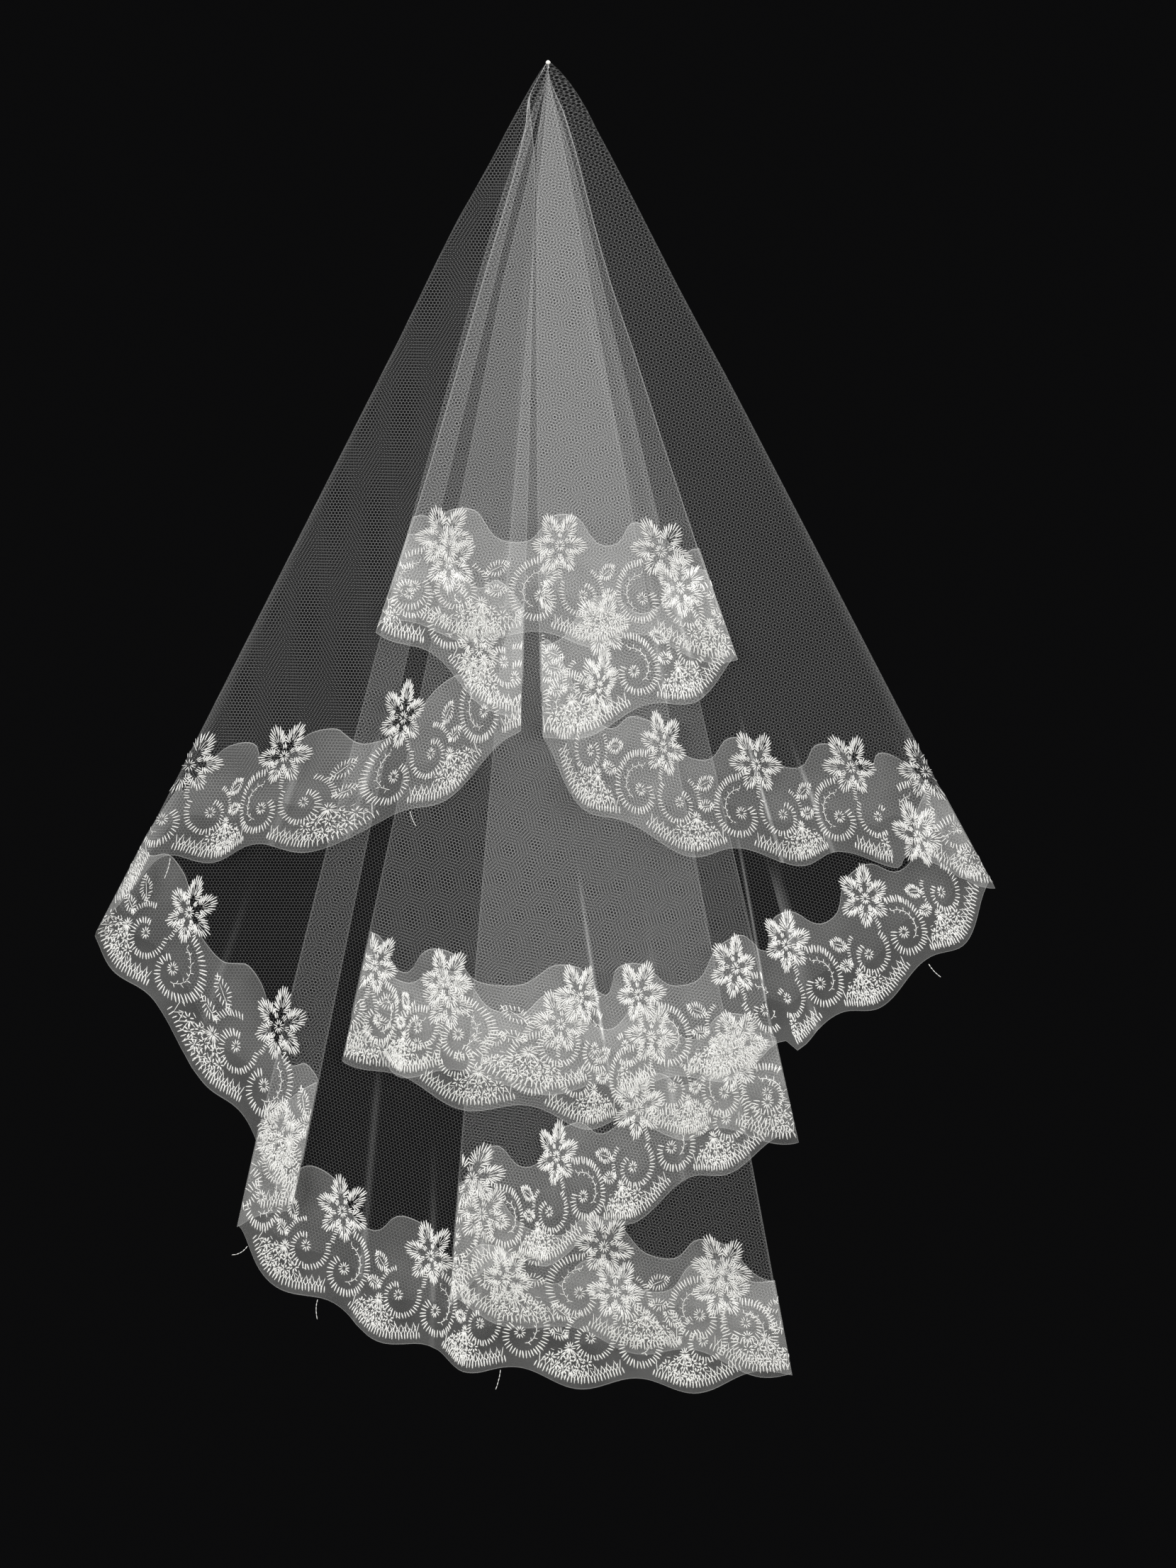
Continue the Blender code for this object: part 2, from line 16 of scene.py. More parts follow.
import bpy
import numpy as np
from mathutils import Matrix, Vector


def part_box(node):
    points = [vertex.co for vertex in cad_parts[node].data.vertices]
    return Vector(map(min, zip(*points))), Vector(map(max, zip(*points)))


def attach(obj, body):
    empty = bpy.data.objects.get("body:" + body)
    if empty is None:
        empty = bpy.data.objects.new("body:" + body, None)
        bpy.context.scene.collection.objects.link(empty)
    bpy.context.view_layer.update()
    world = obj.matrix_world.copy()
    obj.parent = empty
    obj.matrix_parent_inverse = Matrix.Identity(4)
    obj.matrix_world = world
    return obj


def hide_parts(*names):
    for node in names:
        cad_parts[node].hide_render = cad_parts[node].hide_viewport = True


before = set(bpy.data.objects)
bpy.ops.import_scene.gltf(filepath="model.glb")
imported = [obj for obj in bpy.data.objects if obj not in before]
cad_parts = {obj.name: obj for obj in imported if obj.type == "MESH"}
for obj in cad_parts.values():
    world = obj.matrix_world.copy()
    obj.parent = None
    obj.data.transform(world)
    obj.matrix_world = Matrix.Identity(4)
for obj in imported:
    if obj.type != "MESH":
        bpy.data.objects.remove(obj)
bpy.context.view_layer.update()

MM = 0.001
BODY = "root"
log = logging.getLogger("veil")

# Lace sizes, measured up from the middle line of the scalloped hem
LACE_REPEAT = 97.0
FLOWER_HEIGHT = 72.5
FLOWER_HALF = 28.0
REPEATS_BEYOND = 4
PINCHED_SHARE = 0.35
LACE_HEIGHT = 86.0
LACE_TOP_WAVE = 23.0
LACE_PEAK_PHASE = 0.08
LACE_TOP_SQUARENESS = 1.4
SCALLOP_DEPTH = 12.0
SCALLOP_PHASE = 0.30
TULLE_END = 35.0

# The layers, from 0 nearest the viewer to 7 nearest the wall
LAYERS = 8
TIGHT_SPACING = 2.0
OPEN_SPACING = 6.4
SPACING_OPEN_AT = 430.0
PIN_SPACING = 0.25
TIP_REACH = 40.0
CENTRE_Y_AT_PIN = -16.0
CENTRE_Y_AT_HEM = -35.0
LONG_REACH = 950.0
MIN_BEND = 1.0
CREASE_LEAN_OVER = 200.0
CREASE_FADE_IN = 90.0
CREASE_SPAN = 14.0
CREASE_SPAN_FOR_LEAN = 1.6

# Mesh columns beside a fold, and across a crease in shares of its half width
FOLD_TURN_STEP_DEG = 18
BESIDE_FOLD = (0.9, 2.4, 5.0, 9.0, 14.0)
ACROSS_CREASE = (-1.0, -0.6, -0.3, -0.1, 0.1, 0.3, 0.6, 1.0)
MIN_COLUMN_GAP = 0.35

# Shoulders beside the pin, and slow waves that all the layers share
SHOULDER_RISE = 25.0
SHOULDER_END = 640.0
SHOULDER_RIGHT = 13.0
SHOULDER_LEFT = 8.0
WING_ANGLE = 28.0
FLUTE_PITCH_DEG = 19.0
FLUTE_HEIGHT = 4.0
FLUTE_START = 0.6
SWELL_LENGTH = 900.0
SWELL_HEIGHT = 2.5
APEX_RISE = 3.0

FIBRE_IOR = 1.53


class Side(Enum):
    """Which side of the cloth faces the viewer, and so which way its hem runs: 1.0 to the right."""

    RIGHT = 1.0
    WRONG = -1.0


@dataclass(frozen=True)
class Station:
    """Place on a stretch's hem."""

    angle_deg: float
    reach_mm: float
    layer: float


@dataclass(frozen=True)
class Crease:
    """Ridge that runs down a stretch from a starting reach to its hem, and how strongly a painted sheen
    shows along its crest.
    """

    angle_deg: float
    lean_deg: float
    starts_mm: float
    half_width_mm: float
    rise_mm: float
    # Strength of the painted sheen along the crest
    line: float

    def centre_deg(self, reach: np.ndarray) -> np.ndarray:
        """Angle of the crest at a reach."""
        share = np.clip((reach - self.starts_mm) / CREASE_LEAN_OVER, 0.0, 1.0)
        return self.angle_deg + self.lean_deg * share


@dataclass(frozen=True)
class Fold:
    """Fold at the start of a stretch: how softly it turns, how strongly a painted sheen shows
    along its line, and its angle at reaches near the pin."""

    bend_deg: float
    # Strength of the painted sheen along the fold line
    line: float
    path: tuple[tuple[float, float], ...]


@dataclass(frozen=True)
class Stretch:
    """One stretch of cloth between two folds. Flowers are places along the hem."""

    name: str
    side: Side
    fold: Fold
    flowers_mm: tuple[float, ...]
    stations: tuple[Station, ...]
    creases: tuple[Crease, ...] = ()


def stations(*rows: tuple[float, float, float]) -> tuple[Station, ...]:
    """Turns rows of angle, reach and layer into stations."""
    return tuple(Station(*row) for row in rows)


STRETCHES = (
    Stretch("front_flap", Side.RIGHT, Fold(0.16, 1, (
        (10, -22), (30, -23.5), (38, -20.3), (46, -17.9), (66, -16.4), (95, -15.7),
        (168, -16), (305, -16))),
        (38, 141, 221), stations(
        (-16.5, 457, 0.0), (-7.9, 449, 0.0), (0.6, 449, 0.0), (8.9, 456, 0.0), (17.3, 488, 0.0)),
        (Crease(-5.5, 1.0, 90, 5, 0.8, 0.05), Crease(9.2, 2.0, 120, 6, 0.8, 0.05),
         Crease(13.0, 0.6, 60, 5, 0.7, 0.05))),
    Stretch("right_tuck", Side.WRONG, Fold(0.16, 1, (
        (5, 0), (12, 2.5), (22, 9.7), (37, 14.1), (66, 15), (120, 14.7), (171, 14.9),
        (229, 15.8), (305, 16.3))),
        (10, 98), stations(
        (17.3, 488, 1.0), (11.8, 507, 1.0), (5.4, 515, 1.0), (-0.5, 529, 1.0)),
        (Crease(13.0, 1.0, 380, 5, 1.6, 0.25), Crease(10.9, -0.8, 400, 5, 1.4, 0.2))),
    Stretch("right_wing", Side.RIGHT, Fold(0.16, 0.5, (
        (5, -6), (18, -7), (54, -7.4), (74, -6.5), (93, -5.5), (113, -4.4), (182, -2.8),
        (298, -1.6))),
        (24, 118, 205, 283, 336), stations(
        (-0.5, 529, 2.0), (2.6, 574, 2.0), (8.2, 612, 2.0), (14.4, 637, 2.0), (20.8, 662, 1.6),
        (25.8, 693, 1.0), (28.3, 727, 0.6)),
        (Crease(16.2, 0.1, 490, 3, 1.8, 0.35), Crease(27.0, -0.2, 540, 3, 1.8, 0.3),
         Crease(19.4, 0.6, 520, 4, 1.4, 0.25))),
    Stretch("middle_sheet", Side.WRONG, Fold(1.1, 0.22, (
        (10, 30), (30, 29.5), (60, 27.9), (187, 27.9), (300, 28.3))),
        (16, 100, 180, 226, 320, 373, 488, 552), stations(
        (28.3, 727, 4.4), (24.7, 755, 4.0), (19.0, 773, 3.2), (13.7, 786, 3.0), (9.0, 798, 3.0),
        (3.1, 800, 3.0), (-2.9, 792, 3.0), (-8.5, 790, 3.0), (-11.7, 786, 3.0)),
        (Crease(1.7, 1.8, 590, 4, 2.4, 0.4), Crease(13.9, -1.0, 570, 3, 1.8, 0.35),
         Crease(15.2, 0.3, 600, 2.5, 1.0, 0.3))),
    Stretch("middle_return", Side.RIGHT, Fold(0.16, 0.35, (
        (5, -1), (15, -3.5), (40, -7.5), (78, -9.2), (104, -10), (137, -10.9),
        (177, -11.5), (298, -11.3))),
        (72, 172, 248, 322), stations(
        (-11.7, 786, 4.0), (-6.7, 806, 4.0), (-1.2, 816, 4.0), (4.9, 831, 4.0), (13.0, 856, 4.0))),
    Stretch("lower_sheet", Side.WRONG, Fold(0.16, 0.35, (
        (5, 0), (15, 4), (30, 8.5), (60, 12), (120, 13), (301, 13.4))),
        (30, 112, 191, 262), stations(
        (13.0, 856, 5.0), (9.0, 870, 5.0), (4.5, 897, 5.0), (0.3, 928, 5.0), (-3.1, 941, 5.0),
        (-4.6, 965, 5.0)), (Crease(6.4, 0.5, 640, 7, 1.4, 0.12),)),
    Stretch("lower_return", Side.RIGHT, Fold(0.16, 0.3, (
        (5, 0), (15, -1.5), (40, -3.2), (100, -4.6), (300, -4.6))),
        (12, 120, 217), stations(
        (-4.6, 965, 6.0), (-1.0, 982, 6.0), (3.4, 999, 6.0), (7.1, 1017, 6.0), (10.5, 1038, 6.0)),
        (Crease(-3.2, 0.0, 840, 5, 1.4, 0.15),)),
    Stretch("train", Side.WRONG, Fold(0.16, 0.35, (
        (5, 0), (15, 3), (30, 7), (60, 9.5), (120, 10.3), (300, 10.5))),
        (46, 138, 232, 302, 386), stations(
        (10.5, 1038, 7.0), (6.5, 1037, 7.0), (1.5, 1028, 7.0), (-2.9, 1018, 7.0), (-7.0, 1001, 6.9),
        (-11.1, 978, 6.6), (-13.5, 963, 5.7), (-14.9, 941, 5.0)),
        (Crease(-9.4, 0.6, 740, 7, 1.4, 0.1), Crease(-6.0, 0.9, 820, 6, 1.2, 0.1))),
    Stretch("train_strip", Side.RIGHT, Fold(0.16, 0.35, (
        (5, -6), (13, -10.6), (28, -15.1), (46, -16.5), (67, -17.7), (97, -18.1),
        (165, -17.6), (306, -16.8))),
        (31,), stations(
        (-14.9, 941, 4.0), (-12.5, 907, 4.0))),
    Stretch("left_wing_back", Side.WRONG, Fold(0.16, 0.3, (
        (5, -2), (15, -6), (40, -11), (100, -13.4), (300, -13.4))),
        (93, 209), stations(
        (-12.5, 907, 3.0), (-15.8, 860, 3.0), (-21.3, 806, 3.5), (-25.5, 777, 4.0),
        (-27.3, 762, 4.3)), (Crease(-19.6, 0.0, 640, 8, 1.2, 0.05),)),
    Stretch("left_wing", Side.RIGHT, Fold(1.0, 0.22, (
        (10, -26.5), (33, -26.7), (79, -26.8), (143, -27.8), (246, -27.3))),
        (18, 93, 163, 279, 372), stations(
        (-27.3, 762, 0.6), (-26.1, 697, 0.9), (-21.6, 661, 1.6), (-16.3, 632, 2.0),
        (-11.2, 600, 2.0), (-6.3, 559, 2.0), (-2.2, 518, 2.0)),
        (Crease(-19.4, 0.0, 520, 7, 1.8, 0.12), Crease(-13.6, -1.2, 480, 6, 1.4, 0.15))),
    Stretch("left_tuck", Side.WRONG, Fold(0.16, 0.5, (
        (10, -22), (30, -23.3), (38, -18), (51, -12.7), (64, -9.6), (84, -6.5),
        (103, -5.5), (123, -5), (182, -3.8), (300, -2.8))),
        (12, 106), stations(
        (-2.2, 518, 1.0), (-8.6, 483, 1.0), (-16.5, 457, 1.0)),
        (Crease(-7.4, 0.8, 380, 5, 1.4, 0.15),)),
)


@dataclass(frozen=True)
class LooseEnd:
    """Cut end of embroidery thread that hangs over the hem."""

    stretch: str
    angle_deg: float
    length_mm: float
    lean_mm: float


LOOSE_ENDS = (
    LooseEnd("left_wing", -25.2, 13.0, -4.0),
    LooseEnd("left_wing", -10.3, 11.0, 3.0),
    LooseEnd("train", -2.1, 14.0, 2.0),
    LooseEnd("train", -10.6, 12.0, -5.0),
    LooseEnd("train", -14.3, 13.0, 6.0),
    LooseEnd("lower_sheet", -3.0, 12.0, 4.0),
    LooseEnd("middle_sheet", 22.9, 12.0, -3.0),
)

# The frame has the middle sheet as two nodes
CAD_PARTS = tuple(stretch.name for stretch in STRETCHES) + ("right_wing_back",)


def ease(share: np.ndarray) -> np.ndarray:
    """Smooth step from 0 to 1."""
    share = np.clip(share, 0.0, 1.0)
    return share * share * (3.0 - 2.0 * share)


def unit(vectors: np.ndarray) -> np.ndarray:
    """Vectors scaled to length one."""
    return vectors / np.maximum(np.linalg.norm(vectors, axis=-1, keepdims=True), 1e-9)


class MonotoneCurve:
    """Smooth curve through table values that never swings past them."""

    def __init__(self, places: np.ndarray, values: np.ndarray | list[float]) -> None:
        """Works out the slopes at the table's places."""
        self.places = places
        self.values = np.array(values, float)
        rises = np.diff(self.values) / np.diff(places)
        before = rises[:-1]
        after = rises[1:]
        total = np.where(before * after > 0.0, before + after, 1.0)
        inner = np.where(before * after > 0.0, 2.0 * before * after / total, 0.0)
        self.slopes = np.concatenate([rises[:1], inner, rises[-1:]])

    def __call__(self, place: np.ndarray) -> np.ndarray:
        """Value of the curve at each place."""
        index = np.clip(np.searchsorted(self.places, place) - 1, 0, len(self.places) - 2)
        step = self.places[index + 1] - self.places[index]
        t = (place - self.places[index]) / step
        start = (1.0 + 2.0 * t) * (1.0 - t) ** 2 * self.values[index]
        end = t * t * (3.0 - 2.0 * t) * self.values[index + 1]
        bend = t * (1.0 - t) ** 2 * self.slopes[index] + t * t * (t - 1.0) * self.slopes[index + 1]
        return start + end + step * bend


def layer_spacing(reach: np.ndarray) -> np.ndarray:
    """Distance between two layers: closed up at the pin, open lower down."""
    open_part = TIGHT_SPACING + (OPEN_SPACING - TIGHT_SPACING) * np.minimum(reach / SPACING_OPEN_AT, 1.0)
    tip_part = PIN_SPACING + (TIGHT_SPACING - PIN_SPACING) * reach / TIP_REACH
    return np.where(reach < TIP_REACH, np.minimum(tip_part, open_part), open_part)


def layer_depth(layer: np.ndarray, reach: np.ndarray) -> np.ndarray:
    """Y of a layer, without the waves."""
    centre = CENTRE_Y_AT_PIN + (CENTRE_Y_AT_HEM - CENTRE_Y_AT_PIN) * np.minimum(reach / LONG_REACH, 1.0)
    return centre + (layer - (LAYERS - 1) / 2.0) * layer_spacing(reach)


def shared_wave(angle_deg: np.ndarray, reach: np.ndarray) -> np.ndarray:
    """Slow flutes and swell that every layer follows."""
    share = np.minimum(reach / LONG_REACH, 1.0)
    turn = math.tau * angle_deg / FLUTE_PITCH_DEG + FLUTE_START
    flutes = FLUTE_HEIGHT * share * share * np.sin(turn)
    swell = SWELL_HEIGHT * share * np.sin(math.tau * reach / SWELL_LENGTH)
    return flutes + swell


def shoulder(angle_deg: np.ndarray, reach: np.ndarray) -> np.ndarray:
    """Sideways bulge of the outer folds just below the pin."""
    size = np.where(angle_deg > 0.0, SHOULDER_RIGHT, SHOULDER_LEFT)
    share = angle_deg / WING_ANGLE
    rise = 1.0 - np.exp(-reach / SHOULDER_RISE)
    fall = np.maximum(0.0, 1.0 - reach / SHOULDER_END)
    return size * share * np.abs(share) * rise * fall


class StretchSurface:
    """Conical surface of one stretch, addressed by place along the hem and reach from the pin."""

    def __init__(self, index: int, turned_before: float) -> None:
        """Reads a stretch's table.

        Args:
            index: Number of the stretch round the hem.
            turned_before: Degrees of cloth round the pin before this stretch.
        """
        stretch = STRETCHES[index]
        following = STRETCHES[(index + 1) % len(STRETCHES)]
        preceding = STRETCHES[index - 1]
        self.stretch = stretch
        self.name = stretch.name
        first, last = stretch.stations[0], stretch.stations[-1]
        self.first_deg = first.angle_deg
        self.last_deg = last.angle_deg
        self.turn = stretch.side.value
        self.bend_deg = (stretch.fold.bend_deg, following.fold.bend_deg)
        # Strength of the painted sheen along the start and end folds
        self.line = (stretch.fold.line, following.fold.line)
        self.fold_paths = []
        for fold, station in ((stretch.fold, first), (following.fold, last)):
            path = np.array(fold.path + ((station.reach_mm, station.angle_deg),), float)
            self.fold_paths.append(MonotoneCurve(path[:, 0], path[:, 1]))
        self.middle_layer = ((first.layer + preceding.stations[-1].layer) / 2.0,
                             (last.layer + following.stations[0].layer) / 2.0)
        angles = np.radians([station.angle_deg for station in stretch.stations])
        reaches = np.array([station.reach_mm for station in stretch.stations])
        hem = np.stack([reaches * np.sin(angles), -reaches * np.cos(angles)], 1)
        steps = np.linalg.norm(np.diff(hem, axis=0), axis=1)
        places = np.concatenate([[0.0], np.cumsum(steps)])
        self.length = float(places[-1])
        self.hem_angle = MonotoneCurve(places, [station.angle_deg for station in stretch.stations])
        self.hem_reach = MonotoneCurve(places, [station.reach_mm for station in stretch.stations])
        self.layer = MonotoneCurve(places, [station.layer for station in stretch.stations])
        self.turned_before = turned_before
        self.strip = LaceStrip(self)

    def near_pin_shift(self, hem_angle: np.ndarray, reach: np.ndarray) -> np.ndarray:
        """Difference between the cloth's angle at this reach and at the hem."""
        share = (hem_angle - self.first_deg) / (self.last_deg - self.first_deg)
        start, end = [curve(np.clip(reach, curve.places[0], curve.places[-1]))
                      for curve in self.fold_paths]
        return (start - self.first_deg) * (1.0 - share) + (end - self.last_deg) * share

    def bend_width_deg(self, at_end: int, reach: np.ndarray) -> np.ndarray:
        """Angle over which the cloth turns into the fold."""
        safe = np.maximum(reach, TIP_REACH)
        return np.maximum(np.degrees(MIN_BEND / safe), self.bend_deg[at_end])

    def crease_bumps(self, hem_angle: np.ndarray, reach: np.ndarray) -> list[tuple[Crease, np.ndarray]]:
        """Each crease of the stretch with its share there: 1 on its crest, 0 beside it."""
        bumps = []
        for crease in self.stretch.creases:
            across = np.radians(np.abs(hem_angle - crease.centre_deg(reach))) * reach
            bump = 0.5 + 0.5 * np.cos(math.pi * np.minimum(across / crease.half_width_mm, 1.0))
            bumps.append((crease, bump * ease((reach - crease.starts_mm) / CREASE_FADE_IN)))
        return bumps

    def crease_rise(self, hem_angle: np.ndarray, reach: np.ndarray) -> np.ndarray:
        """Forward rise of the stretch's own creases."""
        rise = np.zeros(np.broadcast(hem_angle, reach).shape)
        for crease, bump in self.crease_bumps(hem_angle, reach):
            rise = rise + crease.rise_mm * bump
        return rise

    def fold_shares(self, place: np.ndarray, reach: np.ndarray) -> list[np.ndarray]:
        """How far the cloth has left the start and the end fold: 0 on the fold line, 1 clear of it."""
        hem_angle = self.hem_angle(place)
        angle_deg = hem_angle + self.near_pin_shift(hem_angle, reach)
        shares = []
        for at_end, fold_deg in enumerate((self.first_deg, self.last_deg)):
            fold_shift = self.near_pin_shift(np.array(fold_deg), reach)
            away = np.abs(angle_deg - fold_deg - fold_shift)
            left = 1.0 - np.minimum(away / self.bend_width_deg(at_end, reach), 1.0)
            shares.append(np.sqrt(np.maximum(0.0, 1.0 - left * left)))
        return shares

    def dense(self, place: np.ndarray, reach: np.ndarray) -> np.ndarray:
        """Painted sheen where the cloth turns edge-on in a fold or crease: extra cover that makes its
        line show brighter.
        """
        shares = self.fold_shares(place, reach)
        shown = np.maximum((1.0 - shares[0]) * self.line[0], (1.0 - shares[1]) * self.line[1])
        for crease, bump in self.crease_bumps(self.hem_angle(place), reach):
            shown = shown + crease.line * bump ** 3
        return np.clip(shown, 0.0, 1.0)

    def points(self, place: np.ndarray, reach: np.ndarray) -> np.ndarray:
        """Points of the surface in millimetres, one for each place and reach."""
        hem_angle = self.hem_angle(place)
        angle_deg = hem_angle + self.near_pin_shift(hem_angle, reach)
        depth = layer_depth(self.layer(place), reach)
        near_fold = np.ones(depth.shape)
        for at_end, share in enumerate(self.fold_shares(place, reach)):
            middle = layer_depth(np.array(self.middle_layer[at_end]), reach)
            depth = middle + (depth - middle) * share
            near_fold = near_fold * share
        depth = depth + shared_wave(angle_deg, reach) - self.crease_rise(hem_angle, reach) * near_fold
        angle = np.radians(angle_deg)
        across = reach * np.sin(angle) + shoulder(angle_deg, reach)
        down = -reach * np.cos(angle) + APEX_RISE * (1.0 - ease(reach / TIP_REACH))
        return np.stack(np.broadcast_arrays(across, depth, down), -1)

    def normals(self, place: np.ndarray, reach: np.ndarray) -> np.ndarray:
        """Directions in which the cloth's right side faces."""
        before = np.clip(place - 0.5, 0.0, self.length)
        after = np.clip(place + 0.5, 0.0, self.length)
        along = self.points(after, reach) - self.points(before, reach)
        down = self.points(place, reach + 1.0) - self.points(place, reach - 1.0)
        return unit(np.cross(down, along))

    def repeat_knots(self) -> tuple[np.ndarray, np.ndarray]:
        """Places along the hem and the lace repeats there.

        Where gathers bring two flowers closer, the cloth between them takes up most of it.
        """
        flowers = np.array(self.stretch.flowers_mm, float)
        before = flowers[0] - LACE_REPEAT * np.arange(REPEATS_BEYOND, 0, -1)
        after = flowers[-1] + LACE_REPEAT * np.arange(1, REPEATS_BEYOND + 1)
        centres = np.concatenate([before, flowers, after])
        gathered = np.minimum(1.0, np.diff(centres) / LACE_REPEAT)
        half = FLOWER_HALF * np.sqrt(gathered)
        number = np.arange(len(centres) - 1) - float(REPEATS_BEYOND)
        places = np.stack([centres[:-1], centres[:-1] + half, centres[1:] - half], 1).ravel()
        share = FLOWER_HALF / LACE_REPEAT
        phases = np.stack([number, number + share, number + 1.0 - share], 1).ravel()
        return np.append(places, centres[-1]), np.append(phases, number[-1] + 1.0)

    def phase(self, place: np.ndarray) -> np.ndarray:
        """Place counted in lace repeats, a whole number at each flower."""
        return np.interp(place, *self.repeat_knots())

    def place_of_phase(self, phase: np.ndarray) -> np.ndarray:
        """Place along the hem of a phase."""
        places, phases = self.repeat_knots()
        return np.interp(phase, phases, places)

    def width_share(self, phase: np.ndarray) -> np.ndarray:
        """Share of its true width that the lace shows at a phase."""
        places, phases = self.repeat_knots()
        index = np.clip(np.searchsorted(phases, phase) - 1, 0, len(phases) - 2)
        return (np.diff(places) / (np.diff(phases) * LACE_REPEAT))[index]

    def edge_reach(self, place: np.ndarray) -> np.ndarray:
        """Reach of the lace's scalloped lower edge."""
        wave = np.cos(math.tau * (self.phase(place) - SCALLOP_PHASE))
        return self.hem_reach(place) + SCALLOP_DEPTH / 2.0 * wave

    def lace_top_reach(self, place: np.ndarray) -> np.ndarray:
        """Reach of the lace's upper edge, nearest the pin over each flower."""
        slow = LACE_TOP_SQUARENESS * np.cos(math.tau * (self.phase(place) - LACE_PEAK_PHASE))
        wave = np.tanh(slow) / math.tanh(LACE_TOP_SQUARENESS)
        return self.hem_reach(place) - LACE_HEIGHT - LACE_TOP_WAVE / 2.0 * wave

    def place_of_angle(self, angle_deg: np.ndarray) -> np.ndarray:
        """Place along the hem of an angle."""
        places = np.arange(0.0, self.length + 1.0)
        return np.interp(angle_deg * self.turn, self.hem_angle(places) * self.turn, places)

    def follow_creases(self, places: np.ndarray, reach: np.ndarray) -> np.ndarray:
        """Places bent sideways so that the columns beside a crease run along it."""
        bent = np.broadcast_to(places, reach.shape)
        for crease in self.stretch.creases:
            crest = self.place_of_angle(np.array(crease.angle_deg))
            shift = self.place_of_angle(crease.centre_deg(reach)) - crest
            lean = abs(math.radians(crease.lean_deg)) * float(self.hem_reach(crest))
            span = CREASE_SPAN + CREASE_SPAN_FOR_LEAN * lean
            bent = bent + shift * ease(1.0 - np.abs(places - crest) / span)
        return bent

    def columns(self, step: float) -> np.ndarray:
        """Places across the stretch, close together in the folds and creases."""
        half = self.length / 2.0
        ends = []
        for at_end, place in ((0, 0.0), (1, self.length)):
            width = math.radians(self.bend_deg[at_end]) * float(self.hem_reach(np.array(place)))
            width = max(MIN_BEND, width)
            turn = width * (1.0 - np.cos(np.radians(np.arange(0, 91, FOLD_TURN_STEP_DEG))))
            ends.append(np.concatenate([turn, width + np.array(BESIDE_FOLD)]))
        start = ends[0][ends[0] < half - 1.0]
        end = self.length - ends[1][ends[1] < half - 1.0][::-1]
        count = max(2, int(round((end[0] - start[-1]) / step)) + 1)
        middle = [np.linspace(start[-1], end[0], count)[1:-1]]
        for crease in self.stretch.creases:
            across = crease.half_width_mm * np.array(ACROSS_CREASE)
            middle.append(self.place_of_angle(np.array(crease.angle_deg)) + across)
        between = np.sort(np.concatenate(middle))
        between = between[np.diff(between, prepend=start[-1]) > MIN_COLUMN_GAP]
        inside = (between > start[-1] + MIN_COLUMN_GAP) & (between < end[0] - MIN_COLUMN_GAP)
        between = between[inside]
        return np.concatenate([start, between, end])

    def flat(self, place: np.ndarray, reach: np.ndarray) -> np.ndarray:
        """Flat position on the uncut round of cloth, in millimetres."""
        turned = np.radians(self.turned_before + np.abs(self.hem_angle(place) - self.first_deg))
        return np.stack([reach * np.sin(turned), reach * np.cos(turned)], -1)


class LaceStrip:
    """Maps the straight lace strip, place and height, onto the fan of a stretch."""

    SMOOTHING = 61
    PAST_FOLD = 1e3

    def __init__(self, surface: StretchSurface) -> None:
        """Works out the hem line and the lace's upright direction along it."""
        self.surface = surface
        self.places = np.arange(0.0, surface.length + 1.0)
        angle = np.radians(surface.hem_angle(self.places))
        reach = surface.hem_reach(self.places)
        self.hem = np.stack([reach * np.sin(angle), -reach * np.cos(angle)], 1)
        tangent = np.gradient(self.hem, axis=0)
        pad = self.SMOOTHING // 2
        kernel = np.ones(self.SMOOTHING) / self.SMOOTHING
        columns = [np.convolve(np.pad(tangent[:, k], pad, mode="edge"), kernel, "valid") for k in (0, 1)]
        tangent = unit(np.stack(columns, 1))
        upright = np.stack([tangent[:, 1], -tangent[:, 0]], 1)
        inward = unit(-self.hem)
        facing = np.sign((upright * inward).sum(1, keepdims=True))
        self.upright = unit(upright * facing + inward)

    def to_surface(self, place: np.ndarray, height: np.ndarray) -> tuple[np.ndarray, np.ndarray]:
        """Place and reach on the surface of points of the strip.

        Args:
            place: Places along the hem, also beyond the stretch's ends.
            height: Heights above the middle line of the hem.

        Returns:
            The place, outside the stretch where the point has passed a fold, and the reach.
        """
        inside = np.clip(place, 0.0, self.places[-1])
        beyond = place - inside

        def there(table: np.ndarray) -> np.ndarray:
            """Values of a two-column table at the places inside."""
            return np.stack([np.interp(inside, self.places, table[:, k]) for k in (0, 1)], -1)

        along = unit(there(np.gradient(self.hem, axis=0)))
        point = there(self.hem) + along * beyond[..., None] + there(self.upright) * height[..., None]
        reach = np.hypot(point[..., 0], point[..., 1])
        angle = np.degrees(np.arctan2(point[..., 0], -point[..., 1]))
        table = self.surface.hem_angle(self.places) * self.surface.turn
        found = np.interp(angle * self.surface.turn, table, self.places)
        low, high = table[0], table[-1]
        before = (angle * self.surface.turn < low) * -self.PAST_FOLD
        after = (angle * self.surface.turn > high) * self.PAST_FOLD
        return found + before + after, reach


def linear(hex_colour: str) -> tuple[float, float, float, float]:
    """sRGB hex colour as linear RGBA."""
    values = []
    for start in (0, 2, 4):
        channel = int(hex_colour[start:start + 2], 16) / 255.0
        values.append(channel / 12.92 if channel <= 0.04045 else ((channel + 0.055) / 1.055) ** 2.4)
    return (values[0], values[1], values[2], 1.0)


def add_node(tree: bpy.types.NodeTree, kind: str, settings: dict | None = None,
             inputs: dict | None = None) -> bpy.types.Node:
    """Adds a node with its settings and links.

    Args:
        tree: Node tree to add to.
        kind: Node type.
        settings: Attributes of the node.
        inputs: Values or output sockets for its inputs, by name or number.

    Returns:
        The new node.
    """
    node = tree.nodes.new(kind)
    for name, value in (settings or {}).items():
        setattr(node, name, value)
    for name, value in (inputs or {}).items():
        if isinstance(value, bpy.types.NodeSocket):
            tree.links.new(value, node.inputs[name])
        else:
            node.inputs[name].default_value = value
    return node


